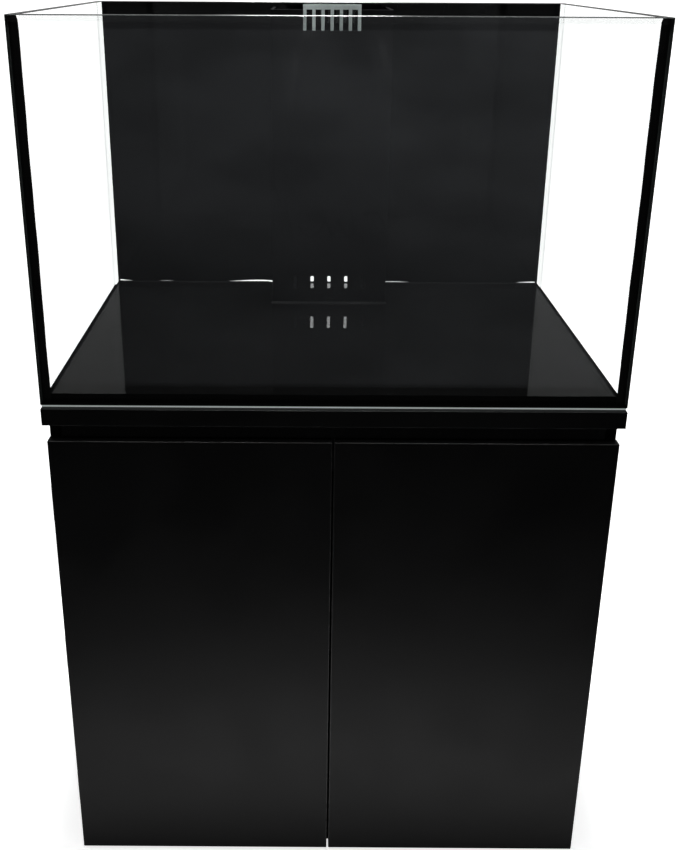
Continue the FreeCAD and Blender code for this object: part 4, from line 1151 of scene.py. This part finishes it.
def screws(name, node, head_way, shank):
    """Grow the screws of a node; head_way is -1 or 1 for heads facing -y or +y."""
    boxes = loose_boxes(node)
    points = bpy.data.meshes.new(name)
    points.from_pydata([((low.x + high.x) / 2, low.y if head_way < 0 else high.y,
                         (low.z + high.z) / 2) for low, high in boxes], [], [])
    low, high = boxes[0]
    piece = screw_rule.grow(name, points, head=(high.z - low.z) / 2 - HAIR, shank=shank * MM,
                            sink=1.4 * MM, length=high.y - low.y, tilt=-head_way * math.pi / 2)
    piece.data.shade_smooth()
    piece.data.set_sharp_from_angle(angle=math.radians(30))
    return stand_for(piece, node)


for side in ("left", "right"):
    screws(f"frame_screws_{side}", f"hinge_frame_screws_{side}", -1, 1.6)
    screws(f"door_screws_{side}", f"hinge_door_screws_{side}", 1, 1.6)
    screws(f"plate_screw_{side}", f"strike_screw_{side}", 1, 1.5)
print("screws set")

# %% [markdown]
# ## Light, floor and backdrop
#
# Black and glass are both drawn by reflections, so the surroundings matter more than the lamps. The
# backdrop that the camera sees straight on, also through the glass, is plain white. What polished
# surfaces reflect is a dim room with one bright band low behind the tank, which lights the rim.
# A large soft lamp hangs overhead. The floor has a painted glow that only the camera sees, weakest
# near the stand, and far in front of the stand its colour is painted near-black as painted shade.

# %% World
world = bpy.data.worlds.new("studio")
scene.world = world
world.use_nodes = True
sky = world.node_tree
sky.nodes.clear()


def sky_node(kind, sockets=(), **settings):
    """Make a world node, with linked or plain sockets."""
    node = sky.nodes.new(f"ShaderNode{kind}")
    for name, value in settings.items():
        setattr(node, name, value)
    for name, value in dict(sockets).items():
        if isinstance(value, bpy.types.NodeSocket):
            sky.links.new(value, node.inputs[name])
        else:
            node.inputs[name].default_value = value
    return node


def sky_step(value, low, high, to_low, to_high):
    """A smooth step of a direction's part."""
    return sky_node("MapRange", {"Value": value, "From Min": low, "From Max": high,
                                 "To Min": to_low, "To Max": to_high},
                    interpolation_type="SMOOTHSTEP").outputs["Result"]


def sky_math(operation, *values):
    """One step of arithmetic on the sky."""
    return sky_node("Math", dict(enumerate(values)), operation=operation).outputs[0]


ROOM_FRONT = 0.03
ROOM_BACK = 0.22
RIM_BAND = 1.5
BACKDROP = 1.35
direction = sky_node("TexCoord").outputs["Generated"]
parts = sky_node("SeparateXYZ", {"Vector": direction})
sideways = sky_math("ABSOLUTE", parts.outputs["X"])
dim_room = sky_step(parts.outputs["Y"], -0.3, 0.6, ROOM_FRONT, ROOM_BACK)
low_band = sky_math("MULTIPLY", sky_step(parts.outputs["Z"], 0.0, 0.01, 0.0, 1.0),
                    sky_step(parts.outputs["Z"], 0.35, 0.6, 1.0, 0.0))
backward = sky_step(parts.outputs["Y"], 0.5, 0.8, 0.0, 1.0)
narrow = sky_math("MULTIPLY", sky_step(sideways, 0.05, 0.11, 1.0, 0.0), RIM_BAND)
band = sky_math("MULTIPLY", sky_math("MULTIPLY", low_band, backward), narrow)
room = sky_node("Background", {"Color": (1, 1, 1, 1), "Strength": sky_math("ADD", dim_room, band)})
backdrop = sky_node("Background", {"Color": (1, 1, 1, 1), "Strength": BACKDROP})
seen = sky_node("LightPath").outputs["Is Camera Ray"]
both = sky_node("MixShader", {0: seen, 1: room.outputs[0], 2: backdrop.outputs[0]})
sky_node("OutputWorld", {"Surface": both.outputs[0]})


# %% Lamps
def aimed(lamp, place, aim):
    """Put a lamp at a place, pointing at another, out of the camera's own sight."""
    lamp.matrix_world = Matrix.Translation(place) @ (
        Vector(aim) - Vector(place)).to_track_quat("-Z", "Y").to_matrix().to_4x4()
    lamp.visible_camera = False
    scene.collection.objects.link(lamp)
    return lamp


pool = bpy.data.lights.new("pool", "SPOT")
pool.energy = 1160
pool.spot_size = math.radians(27)
pool.spot_blend = 0.75
pool.shadow_soft_size = 0.35
aimed(bpy.data.objects.new("pool", pool), (0, 0, 4.5), (0, 0, 0))

strip = bpy.data.lights.new("strip", "AREA")
strip.shape = "RECTANGLE"
strip.size, strip.size_y = 2.8, 0.16
strip.energy = 17
aimed(bpy.data.objects.new("strip", strip), (0, -1.244, 2.89), (0, -0.313, 0.897))

# %% Floor
pale = Finish("floor_painted_glow_and_shade")
radius = pale.add("VectorMath", {0: pale.places}, operation="LENGTH").outputs["Value"]
# The floor glows for camera rays alone. This is a painted glow, weaker near the stand so that a soft
# painted shadow shows there.
painted_floor_glow = pale.ramp(radius, 0.6, 1.6, 0.8, BACKDROP)
seen = pale.add("LightPath").outputs["Is Camera Ray"]
near_stand = pale.blend(pale.noise(2.0), grey(0.80), grey(0.84))
floor_place = pale.add("SeparateXYZ", {"Vector": pale.places})
# About a metre in front of the stand and further, the floor's colour turns near-black. This is painted
# shade, which the doors reflect as darker towards their top.
pale.shine(Base_Color=pale.blend(pale.ramp(floor_place.outputs["Y"], -1.1, -0.65, 1.0, 0.0), near_stand,
                                 grey(0.05)),
           Roughness=0.8,
           Specular_IOR_Level=0.1, Emission_Color=(1, 1, 1, 1),
           Emission_Strength=pale.math("MULTIPLY", painted_floor_glow, seen))
ground = put_in_scene("floor", sheet_mesh("floor", Vector((-30, -30, -0.05)), Vector((30, 30, 0))),
                      pale.material)

scene.view_settings.view_transform = "Standard"
scene.cycles.transparent_max_bounces = 24
scene.cycles.max_bounces = 8
